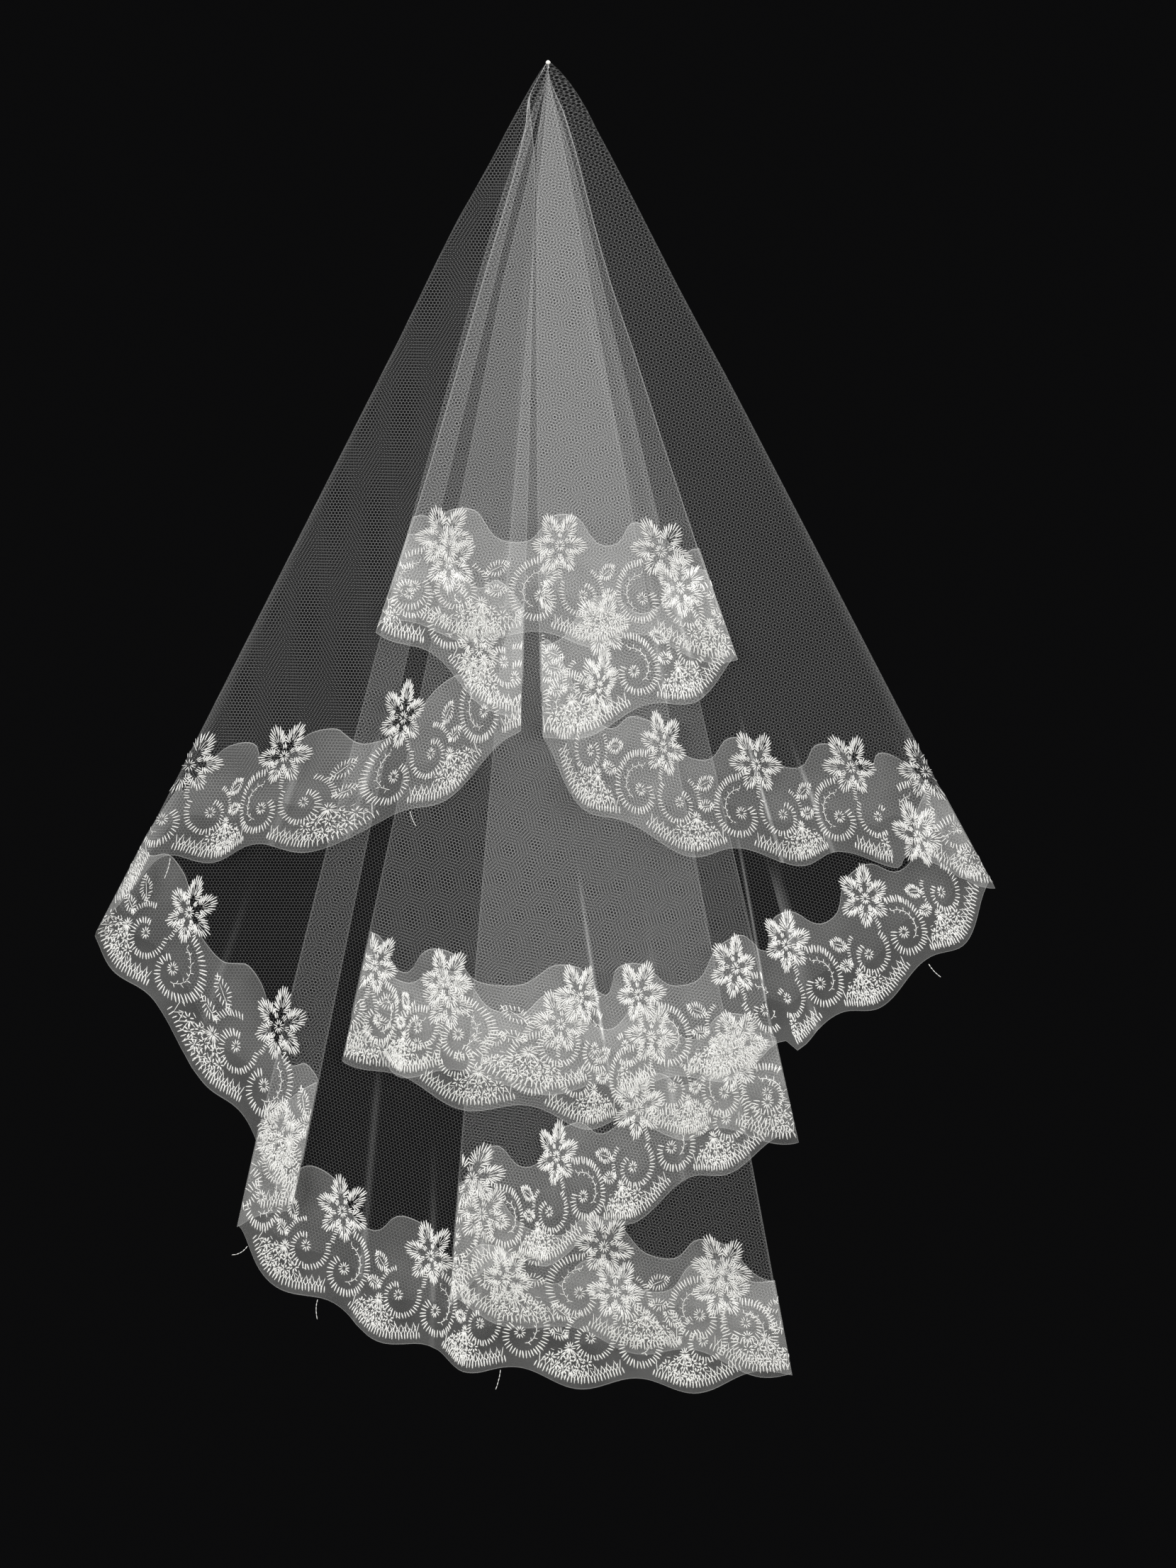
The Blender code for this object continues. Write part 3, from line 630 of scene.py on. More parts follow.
def set_inputs(node: bpy.types.Node, values: dict) -> None:
    """Sets a node's unlinked inputs by name."""
    for name, value in values.items():
        node.inputs[name].default_value = value


def new_material(name: str) -> tuple[bpy.types.Material, bpy.types.NodeTree, bpy.types.Node]:
    """Material with a bare Principled shader, its tree and the shader."""
    material = bpy.data.materials.new(name)
    material.use_nodes = True
    tree = material.node_tree
    return material, tree, tree.nodes["Principled BSDF"]


@dataclass(frozen=True)
class NetFinish:
    """Knitted net: a hexagonal mesh of fine threads with clear holes.

    The real threads are too fine to show, so each is drawn wider and fainter, with the same
    share of the cloth covered, and the tulle's mesh is drawn at 2.6 mm in place of about 1.6 mm.
    """

    name: str
    colour: str
    mesh_mm: float
    thread_cover: float
    haze: float
    # Extra cover of the painted sheen along folds and creases
    fold_sheen_cover: float
    roughness: float
    uv_turn: float = 0.0
    thread_from: float = -0.6
    thread_full: float = -1.1
    cloud_per_mm: float = 0.02

    def make(self) -> bpy.types.Material:
        """Builds the material."""
        material, tree, shader = new_material(self.name)
        uv = add_node(tree, "ShaderNodeUVMap", {"uv_map": "cloth_mm"})
        waves = []
        wave_number = math.tau / (self.mesh_mm * math.sqrt(3.0) / 2.0)
        for turn in (0.0, 60.0, 120.0):
            angle = math.radians(turn + self.uv_turn)
            across = (math.cos(angle) * wave_number, math.sin(angle) * wave_number, 0.0)
            dot = add_node(tree, "ShaderNodeVectorMath", {"operation": "DOT_PRODUCT"},
                           {0: uv.outputs["UV"], 1: across})
            wave = add_node(tree, "ShaderNodeMath", {"operation": "COSINE"}, {0: dot.outputs["Value"]})
            waves.append(wave.outputs[0])
        pair = add_node(tree, "ShaderNodeMath", {"operation": "ADD"}, {0: waves[0], 1: waves[1]})
        total = add_node(tree, "ShaderNodeMath", {"operation": "ADD"},
                         {0: pair.outputs[0], 1: waves[2]})
        threads = add_node(tree, "ShaderNodeMapRange", {"interpolation_type": "SMOOTHSTEP"},
                           {"Value": total.outputs[0], "From Min": self.thread_from,
                            "From Max": self.thread_full, "To Min": 0.0, "To Max": self.thread_cover})
        unevenness = add_node(tree, "ShaderNodeTexNoise", {"noise_dimensions": "2D"},
                              {"Vector": uv.outputs["UV"], "Scale": self.cloud_per_mm,
                               "Detail": 2.0})
        haze = add_node(tree, "ShaderNodeMapRange", {},
                        {"Value": unevenness.outputs["Fac"], "From Min": 0.3, "From Max": 0.7,
                         "To Min": self.haze * 0.8, "To Max": self.haze * 1.2})
        flat_cover = add_node(tree, "ShaderNodeMath", {"operation": "ADD"},
                              {0: threads.outputs["Result"], 1: haze.outputs["Result"]})
        # Painted sheen: extra white cover along folds and creases, where the cloth turns edge-on
        dense = add_node(tree, "ShaderNodeAttribute", {"attribute_name": "dense"})
        painted_fold_sheen = add_node(tree, "ShaderNodeMath", {"operation": "MULTIPLY"},
                          {0: dense.outputs["Fac"], 1: self.fold_sheen_cover})
        cover = add_node(tree, "ShaderNodeMath", {"operation": "ADD", "use_clamp": True},
                         {0: flat_cover.outputs[0], 1: painted_fold_sheen.outputs[0]})
        tree.links.new(cover.outputs[0], shader.inputs["Alpha"])
        set_inputs(shader, {"Base Color": linear(self.colour), "Roughness": self.roughness,
                            "IOR": FIBRE_IOR, "Specular IOR Level": 0.25})
        return material


@dataclass(frozen=True)
class ThreadFinish:
    """Twisted rayon thread: white, smooth and a little glossy, with fine plies along it and painted shade
    in the grooves between them.
    """

    name: str
    colour: str
    # Darker colour painted into the grooves between the plies, as shade
    painted_groove_shade: str
    roughness: float
    ply_mm: float

    def make(self) -> bpy.types.Material:
        """Builds the material."""
        material, tree, shader = new_material(self.name)
        coords = add_node(tree, "ShaderNodeTexCoord")
        plies = add_node(tree, "ShaderNodeTexNoise", {},
                         {"Vector": coords.outputs["Object"], "Scale": 1.0 / (self.ply_mm * MM),
                          "Detail": 2.0, "Roughness": 0.6})
        # Painted shade: where the ply bump is low, in the grooves, the colour is mixed towards the darker
        # one
        groove_shading = add_node(tree, "ShaderNodeMix", {"data_type": "RGBA"},
                        {0: plies.outputs["Fac"], 6: linear(self.painted_groove_shade), 7: linear(self.colour)})
        bump = add_node(tree, "ShaderNodeBump", {}, {"Strength": 0.25, "Distance": 0.0002,
                                                     "Height": plies.outputs["Fac"]})
        tree.links.new(groove_shading.outputs[2], shader.inputs["Base Color"])
        tree.links.new(bump.outputs["Normal"], shader.inputs["Normal"])
        set_inputs(shader, {"Roughness": self.roughness, "IOR": FIBRE_IOR})
        return material


@dataclass(frozen=True)
class PearlFinish:
    """Pearl lacquer over a moulded ball: milky, glossy, with a faint warm and cool play."""

    name: str = "pearl_lacquer"
    warm: str = "F4EEDF"
    cool: str = "E6E6EA"

    def make(self) -> bpy.types.Material:
        """Builds the material."""
        material, tree, shader = new_material(self.name)
        coords = add_node(tree, "ShaderNodeTexCoord")
        clouds = add_node(tree, "ShaderNodeTexNoise", {},
                          {"Vector": coords.outputs["Object"], "Scale": 420.0, "Detail": 3.0})
        colour = add_node(tree, "ShaderNodeMix", {"data_type": "RGBA"},
                          {0: clouds.outputs["Fac"], 6: linear(self.warm), 7: linear(self.cool)})
        tree.links.new(colour.outputs[2], shader.inputs["Base Color"])
        set_inputs(shader, {"Roughness": 0.18, "IOR": 1.5, "Coat Weight": 0.6,
                            "Coat Roughness": 0.08})
        return material


@dataclass(frozen=True)
class SteelFinish:
    """Drawn steel wire, nickel plated: bright, with fine scratches along it."""

    name: str = "plated_pin_wire"
    colour: str = "C9C9CB"

    def make(self) -> bpy.types.Material:
        """Builds the material."""
        material, tree, shader = new_material(self.name)
        coords = add_node(tree, "ShaderNodeTexCoord")
        stretched = add_node(tree, "ShaderNodeMapping", {}, {"Vector": coords.outputs["Object"],
                                                             "Scale": (9000.0, 400.0, 9000.0)})
        scratches = add_node(tree, "ShaderNodeTexNoise", {}, {"Vector": stretched.outputs["Vector"],
                                                              "Scale": 1.0, "Detail": 2.0})
        roughness = add_node(tree, "ShaderNodeMapRange", {},
                             {"Value": scratches.outputs["Fac"], "To Min": 0.18, "To Max": 0.34})
        tree.links.new(roughness.outputs["Result"], shader.inputs["Roughness"])
        set_inputs(shader, {"Base Color": linear(self.colour), "Metallic": 1.0})
        return material


def link_mesh(name: str, mesh: bpy.types.Mesh, material: bpy.types.Material) -> bpy.types.Object:
    """Adds a finished mesh to the scene under its name."""
    mesh.materials.clear()
    mesh.materials.append(material)
    piece = bpy.data.objects.new(name, mesh)
    bpy.context.scene.collection.objects.link(piece)
    return piece


@dataclass(frozen=True)
class ClothGrid:
    """Points of the hanging loop as columns by rows, with what the cloth's finish needs."""

    middle: np.ndarray
    flat: np.ndarray
    # Painted sheen along folds and creases, and on the lace also its own denser edge thread
    dense: np.ndarray


def grid_shell(name: str, grid: ClothGrid, thickness: float) -> bpy.types.Mesh:
    """Thin closed shell over a grid of points whose columns form a closed loop.

    Args:
        name: Mesh name.
        grid: Points in millimetres, flat positions, and the painted sheen along folds and creases with
            any edge thread.
        thickness: Thickness of the shell in millimetres.

    Returns:
        The mesh, with its flat positions in the UV map cloth_mm and its attribute dense.
    """
    middle = grid.middle
    columns, rows = middle.shape[:2]
    along = np.roll(middle, -1, axis=0) - np.roll(middle, 1, axis=0)
    down = np.gradient(middle, axis=1)
    normal = unit(np.cross(down, along))
    outer = middle + normal * thickness / 2.0
    inner = middle - normal * thickness / 2.0
    vertices = np.concatenate([outer.reshape(-1, 3), inner.reshape(-1, 3)]) * MM
    first = np.arange(columns)[:, None] * rows + np.arange(rows - 1)[None, :]
    after = (np.arange(columns) + 1) % columns
    second = after[:, None] * rows + np.arange(rows - 1)[None, :]
    quads = np.stack([first, first + 1, second + 1, second], -1).reshape(-1, 4)
    count = columns * rows
    back = quads[:, ::-1] + count
    top_a = np.arange(columns) * rows
    top_b = after * rows
    top = np.stack([top_a, top_b, top_b + count, top_a + count], 1)
    low_a = top_a + rows - 1
    low_b = top_b + rows - 1
    low = np.stack([low_b, low_a, low_a + count, low_b + count], 1)
    faces = np.concatenate([quads, back, top, low])
    mesh = bpy.data.meshes.new(name)
    mesh.vertices.add(len(vertices))
    mesh.vertices.foreach_set("co", vertices.ravel())
    mesh.loops.add(faces.size)
    mesh.loops.foreach_set("vertex_index", faces.ravel())
    mesh.polygons.add(len(faces))
    mesh.polygons.foreach_set("loop_start", np.arange(0, faces.size, 4))
    mesh.update(calc_edges=True)
    uv_points = grid.flat.reshape(-1, 2)
    column = np.arange(columns)
    flat_first = column[:, None] * 2 * rows + np.arange(rows - 1)[None, :]
    flat_second = flat_first + rows
    flat_quads = np.stack([flat_first, flat_first + 1, flat_second + 1, flat_second], -1).reshape(-1, 4)
    flat_top_a = column * 2 * rows
    flat_top = np.stack([flat_top_a, flat_top_a + rows, flat_top_a + rows, flat_top_a], 1)
    flat_low = np.stack([flat_top_a + 2 * rows - 1, flat_top_a + rows - 1,
                         flat_top_a + rows - 1, flat_top_a + 2 * rows - 1], 1)
    indices = np.concatenate([flat_quads, flat_quads[:, ::-1], flat_top, flat_low])
    layer = mesh.uv_layers.new(name="cloth_mm")
    layer.data.foreach_set("uv", uv_points[indices.ravel()].ravel().astype(np.float32))
    # Painted sheen along folds and creases, with any edge thread, kept for the net's finish
    dense = mesh.attributes.new("dense", "FLOAT", "POINT")
    dense.data.foreach_set("value", np.tile(grid.dense.ravel(), 2).astype(np.float32))
    mesh.shade_smooth()
    mesh.validate()
    return mesh


@dataclass
class HangingLoop:
    """The whole closed loop of stretches."""

    hidden_turn_deg: float = 8.5

    def __post_init__(self) -> None:
        """Makes the surface of each stretch."""
        self.surfaces: list[StretchSurface] = []
        turned = 0.0
        for index, stretch in enumerate(STRETCHES):
            self.surfaces.append(StretchSurface(index, turned))
            seen = abs(stretch.stations[-1].angle_deg - stretch.stations[0].angle_deg)
            turned += seen + self.hidden_turn_deg

    def sheet(self, step: float, reaches: Callable[[StretchSurface, np.ndarray], np.ndarray],
              offset: float) -> ClothGrid:
        """Grid of points over the loop.

        Args:
            step: Distance between columns away from the folds.
            reaches: Function from a surface and a column or grid of places to their reaches.
            offset: Distance from the tulle's middle towards the right side.

        Returns:
            The grid, with the flat positions of both sides of each column gap.
        """
        grids = []
        flats = []
        fold_sheens = []
        for surface in self.surfaces:
            places = surface.columns(step)[:, None]
            place_grid = places
            for _ in range(3):
                rows = reaches(surface, place_grid)
                place_grid = surface.follow_creases(places, rows)
            points = surface.points(place_grid, rows)
            if offset:
                points = points + surface.normals(place_grid, rows) * offset
            grids.append(points)
            flats.append(surface.flat(place_grid, rows))
            # Painted sheen along this stretch's folds and creases
            fold_sheens.append(surface.dense(place_grid, rows))
        columns = []
        pairs = []
        dense = []
        for index, grid in enumerate(grids):
            following = grids[(index + 1) % len(grids)]
            columns.append(grid[1:-1])
            columns.append((grid[-1:] + following[:1]) / 2.0)
            dense.append(fold_sheens[index][1:])
            flat = flats[index]
            next_flat = flats[(index + 1) % len(grids)]
            pairs.append(np.stack([flat[1:-1], flat[2:]], 1))
            pairs.append(np.stack([next_flat[:1], next_flat[1:2]], 1))
        return ClothGrid(np.concatenate(columns), np.concatenate(pairs), np.concatenate(dense))


@dataclass
class TulleSheet:
    """The round of soft tulle, from its apex on the pin to its raw edge under the lace."""

    loop: HangingLoop
    thickness: float = 0.24
    column_step: float = 9.0
    row_shares: tuple[float, ...] = (
        0.0006, 0.003, 0.008, 0.015, 0.025, 0.04, 0.06, 0.085, 0.115, 0.15, 0.19, 0.235, 0.285, 0.34,
        0.395, 0.45, 0.505, 0.56, 0.615, 0.67, 0.72, 0.77, 0.82, 0.865, 0.905, 0.94, 0.97, 1.0)

    def reaches(self, surface: StretchSurface, places: np.ndarray) -> np.ndarray:
        """Reaches of the rows at a column of places, or at a grid of them."""
        return (surface.edge_reach(places) - TULLE_END) * np.array(self.row_shares)

    def build(self) -> bpy.types.Object:
        """Builds the sheet."""
        mesh = grid_shell("tulle_round", self.loop.sheet(self.column_step, self.reaches, 0.0),
                          self.thickness)
        finish = NetFinish("soft_nylon_tulle", "F4F4F3", 2.6, 0.044, 0.002, 0.26, 0.6)
        piece = link_mesh("tulle_round", mesh, finish.make())
        nodes = ["tulle_" + name for name in CAD_PARTS] + ["gathered_tip"]
        # Its shadow is taken as too faint to see, and takes very long to render clean
        piece.visible_shadow = False
        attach(piece, BODY)
        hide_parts(*nodes)
        return piece


@dataclass
class LaceBand:
    """The fine net ground of the lace, lying on the right side of the tulle."""

    loop: HangingLoop
    thickness: float = 0.22
    offset: float = 0.9
    column_step: float = 4.0
    edge_line: float = 0.55
    row_shares: tuple[float, ...] = (0.0, 0.005, 0.011, 0.04, 0.15, 0.3, 0.45, 0.6, 0.75, 0.88, 0.96,
                                     0.99, 0.995, 1.0)

    def reaches(self, surface: StretchSurface, places: np.ndarray) -> np.ndarray:
        """Reaches of the rows at places, from the wavy top to the scalloped hem."""
        top = surface.lace_top_reach(places)
        low = surface.edge_reach(places)
        return top + (low - top) * np.array(self.row_shares)

    def build(self) -> bpy.types.Object:
        """Builds the band."""
        grid = self.loop.sheet(self.column_step, self.reaches, self.offset)
        grid.dense[:, :2] += self.edge_line
        grid.dense[:, -2:] += self.edge_line / 2.0
        mesh = grid_shell("lace_ground", grid, self.thickness)
        finish = NetFinish("fine_organza_net", "F5F5F3", 1.2, 0.012, 0.055, 0.22, 0.55, 15.0)
        piece = link_mesh("lace_ground", mesh, finish.make())
        # Its shadow is taken as too faint to see, and takes very long to render clean
        piece.visible_shadow = False
        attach(piece, BODY)
        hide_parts(*["lace_" + name for name in CAD_PARTS])
        return piece


def even_samples(line: np.ndarray, pitch: float) -> tuple[np.ndarray, np.ndarray]:
    """Even samples of a finely drawn line.

    Args:
        line: Points close together along the line.
        pitch: Distance between samples.

    Returns:
        The samples and their unit normals, to the left of the way along.
    """
    travelled = np.concatenate([[0.0], np.cumsum(np.linalg.norm(np.diff(line, axis=0), axis=1))])
    count = max(2, int(round(travelled[-1] / pitch)) + 1)
    at = np.linspace(0.0, travelled[-1], count)
    samples = np.stack([np.interp(at, travelled, line[:, k]) for k in (0, 1)], 1)
    tangent = unit(np.gradient(samples, axis=0))
    normal = np.stack([-tangent[:, 1], tangent[:, 0]], 1)
    return samples, normal


def direction(angle_deg: float) -> np.ndarray:
    """Unit vector at an angle from the lace's length."""
    angle = math.radians(angle_deg)
    return np.array([math.cos(angle), math.sin(angle)])


@dataclass(frozen=True)
class Spiral:
    """Spiral whose radius shrinks evenly, as a scroll winds round its eye."""

    centre: tuple[float, float]
    outer: float
    inner: float
    first_deg: float
    last_deg: float

    def line(self, inset: float = 0.0, share: float = 1.0) -> np.ndarray:
        """Fine points of its first share, moved inset towards the eye."""
        shares = np.linspace(0.0, share, 121)
        angle = np.radians(self.first_deg + (self.last_deg - self.first_deg) * shares)
        radius = self.outer + (self.inner - self.outer) * shares - inset
        return np.array(self.centre) + np.stack([np.cos(angle), np.sin(angle)], 1) * radius[:, None]


@dataclass(frozen=True)
class Teeth:
    """Satin teeth across a line: pitch, length on each side, lean of the left ends, thread width."""

    pitch: float
    half: float
    lean: float
    width: float


@dataclass(frozen=True)
class Rays:
    """Rays round a centre: where they start and end, how many, and their thread's width."""

    inner: float
    outer: float
    count: int
    width: float = 0.95


class StitchChart:
    """Chart of one lace repeat, laid out by rule, in millimetres from the flower's centre.

    Petals, rings and rays stand at even angles, scrolls are spirals, leaves are mirrored curves
    and the border follows the scallop. Every motif is a row of separate teeth of thread, as a wide
    satin zigzag leaves them. The teeth are a little thicker and further apart than the real ones,
    so that they show.
    """

    TOOTH = 1.15
    TOOTH_PITCH = 2.6
    FINE = 0.6
    ZIGZAG = 0.25
    SCROLL_TEETH = Teeth(2.7, 3.1, 0.35, 1.2)
    SMALL_SCROLL_TEETH = Teeth(2.6, 2.5, 0.4, 1.15)
    STALK_TEETH = Teeth(2.2, 2.2, 0.5, 0.95)
    LEAF_TEETH = Teeth(2.4, 2.1, 0.8, 1.0)
    SPRIG_TEETH = Teeth(2.3, 2.2, 0.6, 1.0)
    FLOWER_EYE = Rays(1.3, 5.0, 12)
    SCROLL_EYE = Rays(1.6, 5.2, 12)
    SMALL_SCROLL_EYE = Rays(1.4, 4.6, 10)
    FAN_EYE = Rays(0.9, 5.0, 12)
    FLORET = Rays(1.3, 4.2, 7, 1.3)
    RIM_MIDDLE_SHARE = 0.57
    HEART_SHARE = 0.36
    HEART_RADIUS = 2.5
    PETALS = 6
    PETAL_LENGTH = 26.0
    PETAL_LENGTHENING = 3.0
    PETAL_WIDTH_SHARE = 0.58
    PETAL_DEPTH_SHARE = 0.28
    PETAL_OPEN_DEG = 115.0
    PETAL_POINTED = 0.2
    BIG_SCROLL = Spiral((-17.0, -39.0), 28.0, 9.0, 90.0, 390.0)
    SMALL_SCROLL = Spiral((20.0, -38.0), 20.0, 8.0, 150.0, 430.0)
    FAN_ROOT = (37.0, -47.0)
    SPRIG_RADIUS = 20.5
    TWIG_INSET = 9.0
    TWIG_PITCH = 3.0
    TWIG_BARB = 2.6
    BORDER_HALF = 36.0
    BORDER_INSET = 7.5
    BORDER_PITCH = 2.7
    BORDER_TEETH = (3.0, 3.8)
    BORDER_INNER = 2.2
    ZIGZAG_TOPS = (8.8, 5.6)
    ZIGZAG_SWAY = 1.1
    FAN_RINGS = ((9.5, 3), (18.0, 6))
    FIELD_RINGS = ((6.5, 8), (13.0, 12), (22.0, 16))
    FIELD_STITCH = 3.4
    STALKS = ((210.0, 18.0), (270.0, 25.0))
    STALK_START = 12.5

    def __init__(self) -> None:
        """Charts every motif of the repeat."""
        self.rows: list[tuple[float, float, float, float, float]] = []
        self.flower()
        self.scrolls()
        self.leaves()
        self.fan()
        self.border()

    def add(self, start: np.ndarray, end: np.ndarray, width: float) -> None:
        """Adds one stitch from start to end."""
        self.rows.append((start[0], start[1], end[0], end[1], width))

    def comb(self, line: np.ndarray, teeth: Teeth) -> None:
        """Teeth across a finely drawn line."""
        samples, normals = even_samples(line, teeth.pitch)
        tangents = np.stack([normals[:, 1], -normals[:, 0]], 1)
        for index, (sample, normal, tangent) in enumerate(zip(samples, normals, tangents)):
            push = tangent * (teeth.lean + (self.ZIGZAG if index % 2 else -self.ZIGZAG))
            reach = normal * teeth.half
            self.add(sample - reach - push, sample + reach + push, teeth.width)

    def star(self, centre: tuple[float, float], rays: Rays, turn_deg: float = 0.0) -> None:
        """Rays at even angles round a centre."""
        middle = np.array(centre)
        for index in range(rays.count):
            out = direction(turn_deg + 360.0 * index / rays.count)
            self.add(middle + out * rays.inner, middle + out * rays.outer, rays.width)

    def petal(self, angle_deg: float, length: float) -> None:
        """Feathery petal: teeth run from its rim towards a small bare heart near the flower's centre."""
        forward = direction(angle_deg)
        sideways = np.array([-forward[1], forward[0]])
        heart = forward * length * self.HEART_SHARE
        depth = length * self.PETAL_DEPTH_SHARE
        turns = np.radians(np.linspace(-self.PETAL_OPEN_DEG, self.PETAL_OPEN_DEG, 73))
        narrowing = 1.0 - self.PETAL_POINTED * np.maximum(0.0, np.cos(turns)) ** 1.5
        middle = length * self.RIM_MIDDLE_SHARE
        half_width = length * self.PETAL_WIDTH_SHARE / 2.0
        rim = (forward * middle + np.outer(np.cos(turns), forward) * (length - middle)
               + np.outer(np.sin(turns) * narrowing, sideways) * half_width)
        for index, point in enumerate(even_samples(rim, self.TOOTH_PITCH)[0]):
            stroke = unit(heart - point)
            room = float(np.linalg.norm(heart - point)) - self.HEART_RADIUS
            outer = point - stroke * (0.55 if index % 2 else -0.55)
            self.add(outer, outer + stroke * min(depth, max(room, 2.6)), self.TOOTH)
            if room > depth * 1.25 and index % 2:
                across = np.array([-stroke[1], stroke[0]])
                inner = point + stroke * depth * 0.75 + across * 0.9
                self.add(inner, inner + stroke * (room - depth * 0.75) - across * 0.9, self.FINE)

    def flower(self) -> None:
        """Six-petalled flower at the top of the repeat, its upper petals a little longer."""
        step = 360.0 / self.PETALS
        for number in range(self.PETALS):
            angle_deg = number * step
            lengthening = self.PETAL_LENGTHENING * math.sin(math.radians(angle_deg))
            self.petal(angle_deg, self.PETAL_LENGTH + lengthening)
            for spread in (-9.0, 0.0, 9.0):
                out = direction(angle_deg + step / 2.0 + spread)
                self.add(out * 5.8, out * (11.5 - abs(spread) * 0.2), 0.9)
        self.star((0.0, 0.0), self.FLOWER_EYE)
        for angle_deg, last in self.STALKS:
            reaches = np.linspace(self.STALK_START, last, 31)
            self.comb(np.outer(reaches, direction(angle_deg)), self.STALK_TEETH)

    def scrolls(self) -> None:
        """Large and small scroll, each round a rayed eye, and the barbed twig inside the large one."""
        self.comb(self.BIG_SCROLL.line(), self.SCROLL_TEETH)
        self.star(self.BIG_SCROLL.centre, self.SCROLL_EYE)
        self.comb(self.SMALL_SCROLL.line(), self.SMALL_SCROLL_TEETH)
        self.star(self.SMALL_SCROLL.centre, self.SMALL_SCROLL_EYE)
        samples, normals = even_samples(self.BIG_SCROLL.line(self.TWIG_INSET, 0.5), self.TWIG_PITCH)
        for index, (start, end) in enumerate(zip(samples, samples[1:])):
            self.add(start, end, 0.75)
            side = normals[index] if index % 2 else -normals[index]
            self.add(start, start + side * self.TWIG_BARB + (start - end) * 0.5, 0.7)

    def leaf(self, base: tuple[float, float], angle_deg: float, length: float, width: float) -> None:
        """Leaf of two mirrored curves of teeth with a fine vein between them."""
        shares = np.linspace(0.0, 1.0, 61)
        forward = direction(angle_deg)
        sideways = np.array([-forward[1], forward[0]])
        for side in (-0.5, 0.5):
            bulge = np.outer(np.sin(math.pi * shares) * width * side, sideways)
            self.comb(np.array(base) + np.outer(shares * length, forward) + bulge, self.LEAF_TEETH)
        self.add(np.array(base), np.array(base) + forward * length * 0.8, self.FINE)

    def leaves(self) -> None:
        """Two leaves right of the small scroll, and a sprig that hugs it."""
        self.leaf((38.0, -24.0), 30.0, 18.0, 9.0)
        self.leaf((40.0, -38.0), 10.0, 14.0, 7.0)
        sprig = Spiral(self.SMALL_SCROLL.centre, self.SPRIG_RADIUS, self.SPRIG_RADIUS, 0.0, 65.0)
        self.comb(sprig.line(), self.SPRIG_TEETH)

    def fan(self) -> None:
        """Fan of eyelet florets on thin stems, over a field of loose fine stitches."""
        root = np.array(self.FAN_ROOT)
        self.star(self.FAN_ROOT, self.FAN_EYE)
        for ring, florets in self.FAN_RINGS:
            for number in range(florets):
                out = direction(-155.0 + 140.0 * (number + 0.5) / florets)
                self.add(root, root + out * (ring - 2.0), self.FINE)
                self.star(tuple(root + out * ring), self.FLORET, number * 25.0)
        for ring, count in self.FIELD_RINGS:
            for index in range(count):
                out = direction(-165.0 + 160.0 * (index + 0.5) / count)
                across = np.array([-out[1], out[0]]) * (1.5 if index % 2 else -1.5)
                end = root + out * (ring + self.FIELD_STITCH) + across
                self.add(root + out * ring, end, self.FINE)

    def border(self) -> None:
        """Scalloped edge: long outer teeth along the scallop, with zigzags along their upper side."""
        x = SCALLOP_PHASE * LACE_REPEAT + np.linspace(-self.BORDER_HALF, self.BORDER_HALF, 121)
        wave = SCALLOP_DEPTH / 2.0 * np.cos(math.tau * (x / LACE_REPEAT - SCALLOP_PHASE))
        line = np.stack([x, self.BORDER_INSET - FLOWER_HEIGHT - wave], 1)
        samples, normals = even_samples(line, self.BORDER_PITCH)
        for index, (sample, normal) in enumerate(zip(samples, normals)):
            long = self.BORDER_TEETH[index % 2]
            self.add(sample + normal * self.BORDER_INNER, sample - normal * long, self.TOOTH)
        upper, lower = self.ZIGZAG_TOPS
        for first, last, tall in ((0, len(samples) - 1, upper), (1, len(samples) * 6 // 10, lower)):
            for index in range(first, last):
                low, high = (index, index + 1) if (index - first) % 2 else (index + 1, index)
                top = tall + self.ZIGZAG_SWAY * math.sin(index * 1.9)
                self.add(samples[low] + normals[low] * 0.8, samples[high] + normals[high] * top, 0.75)


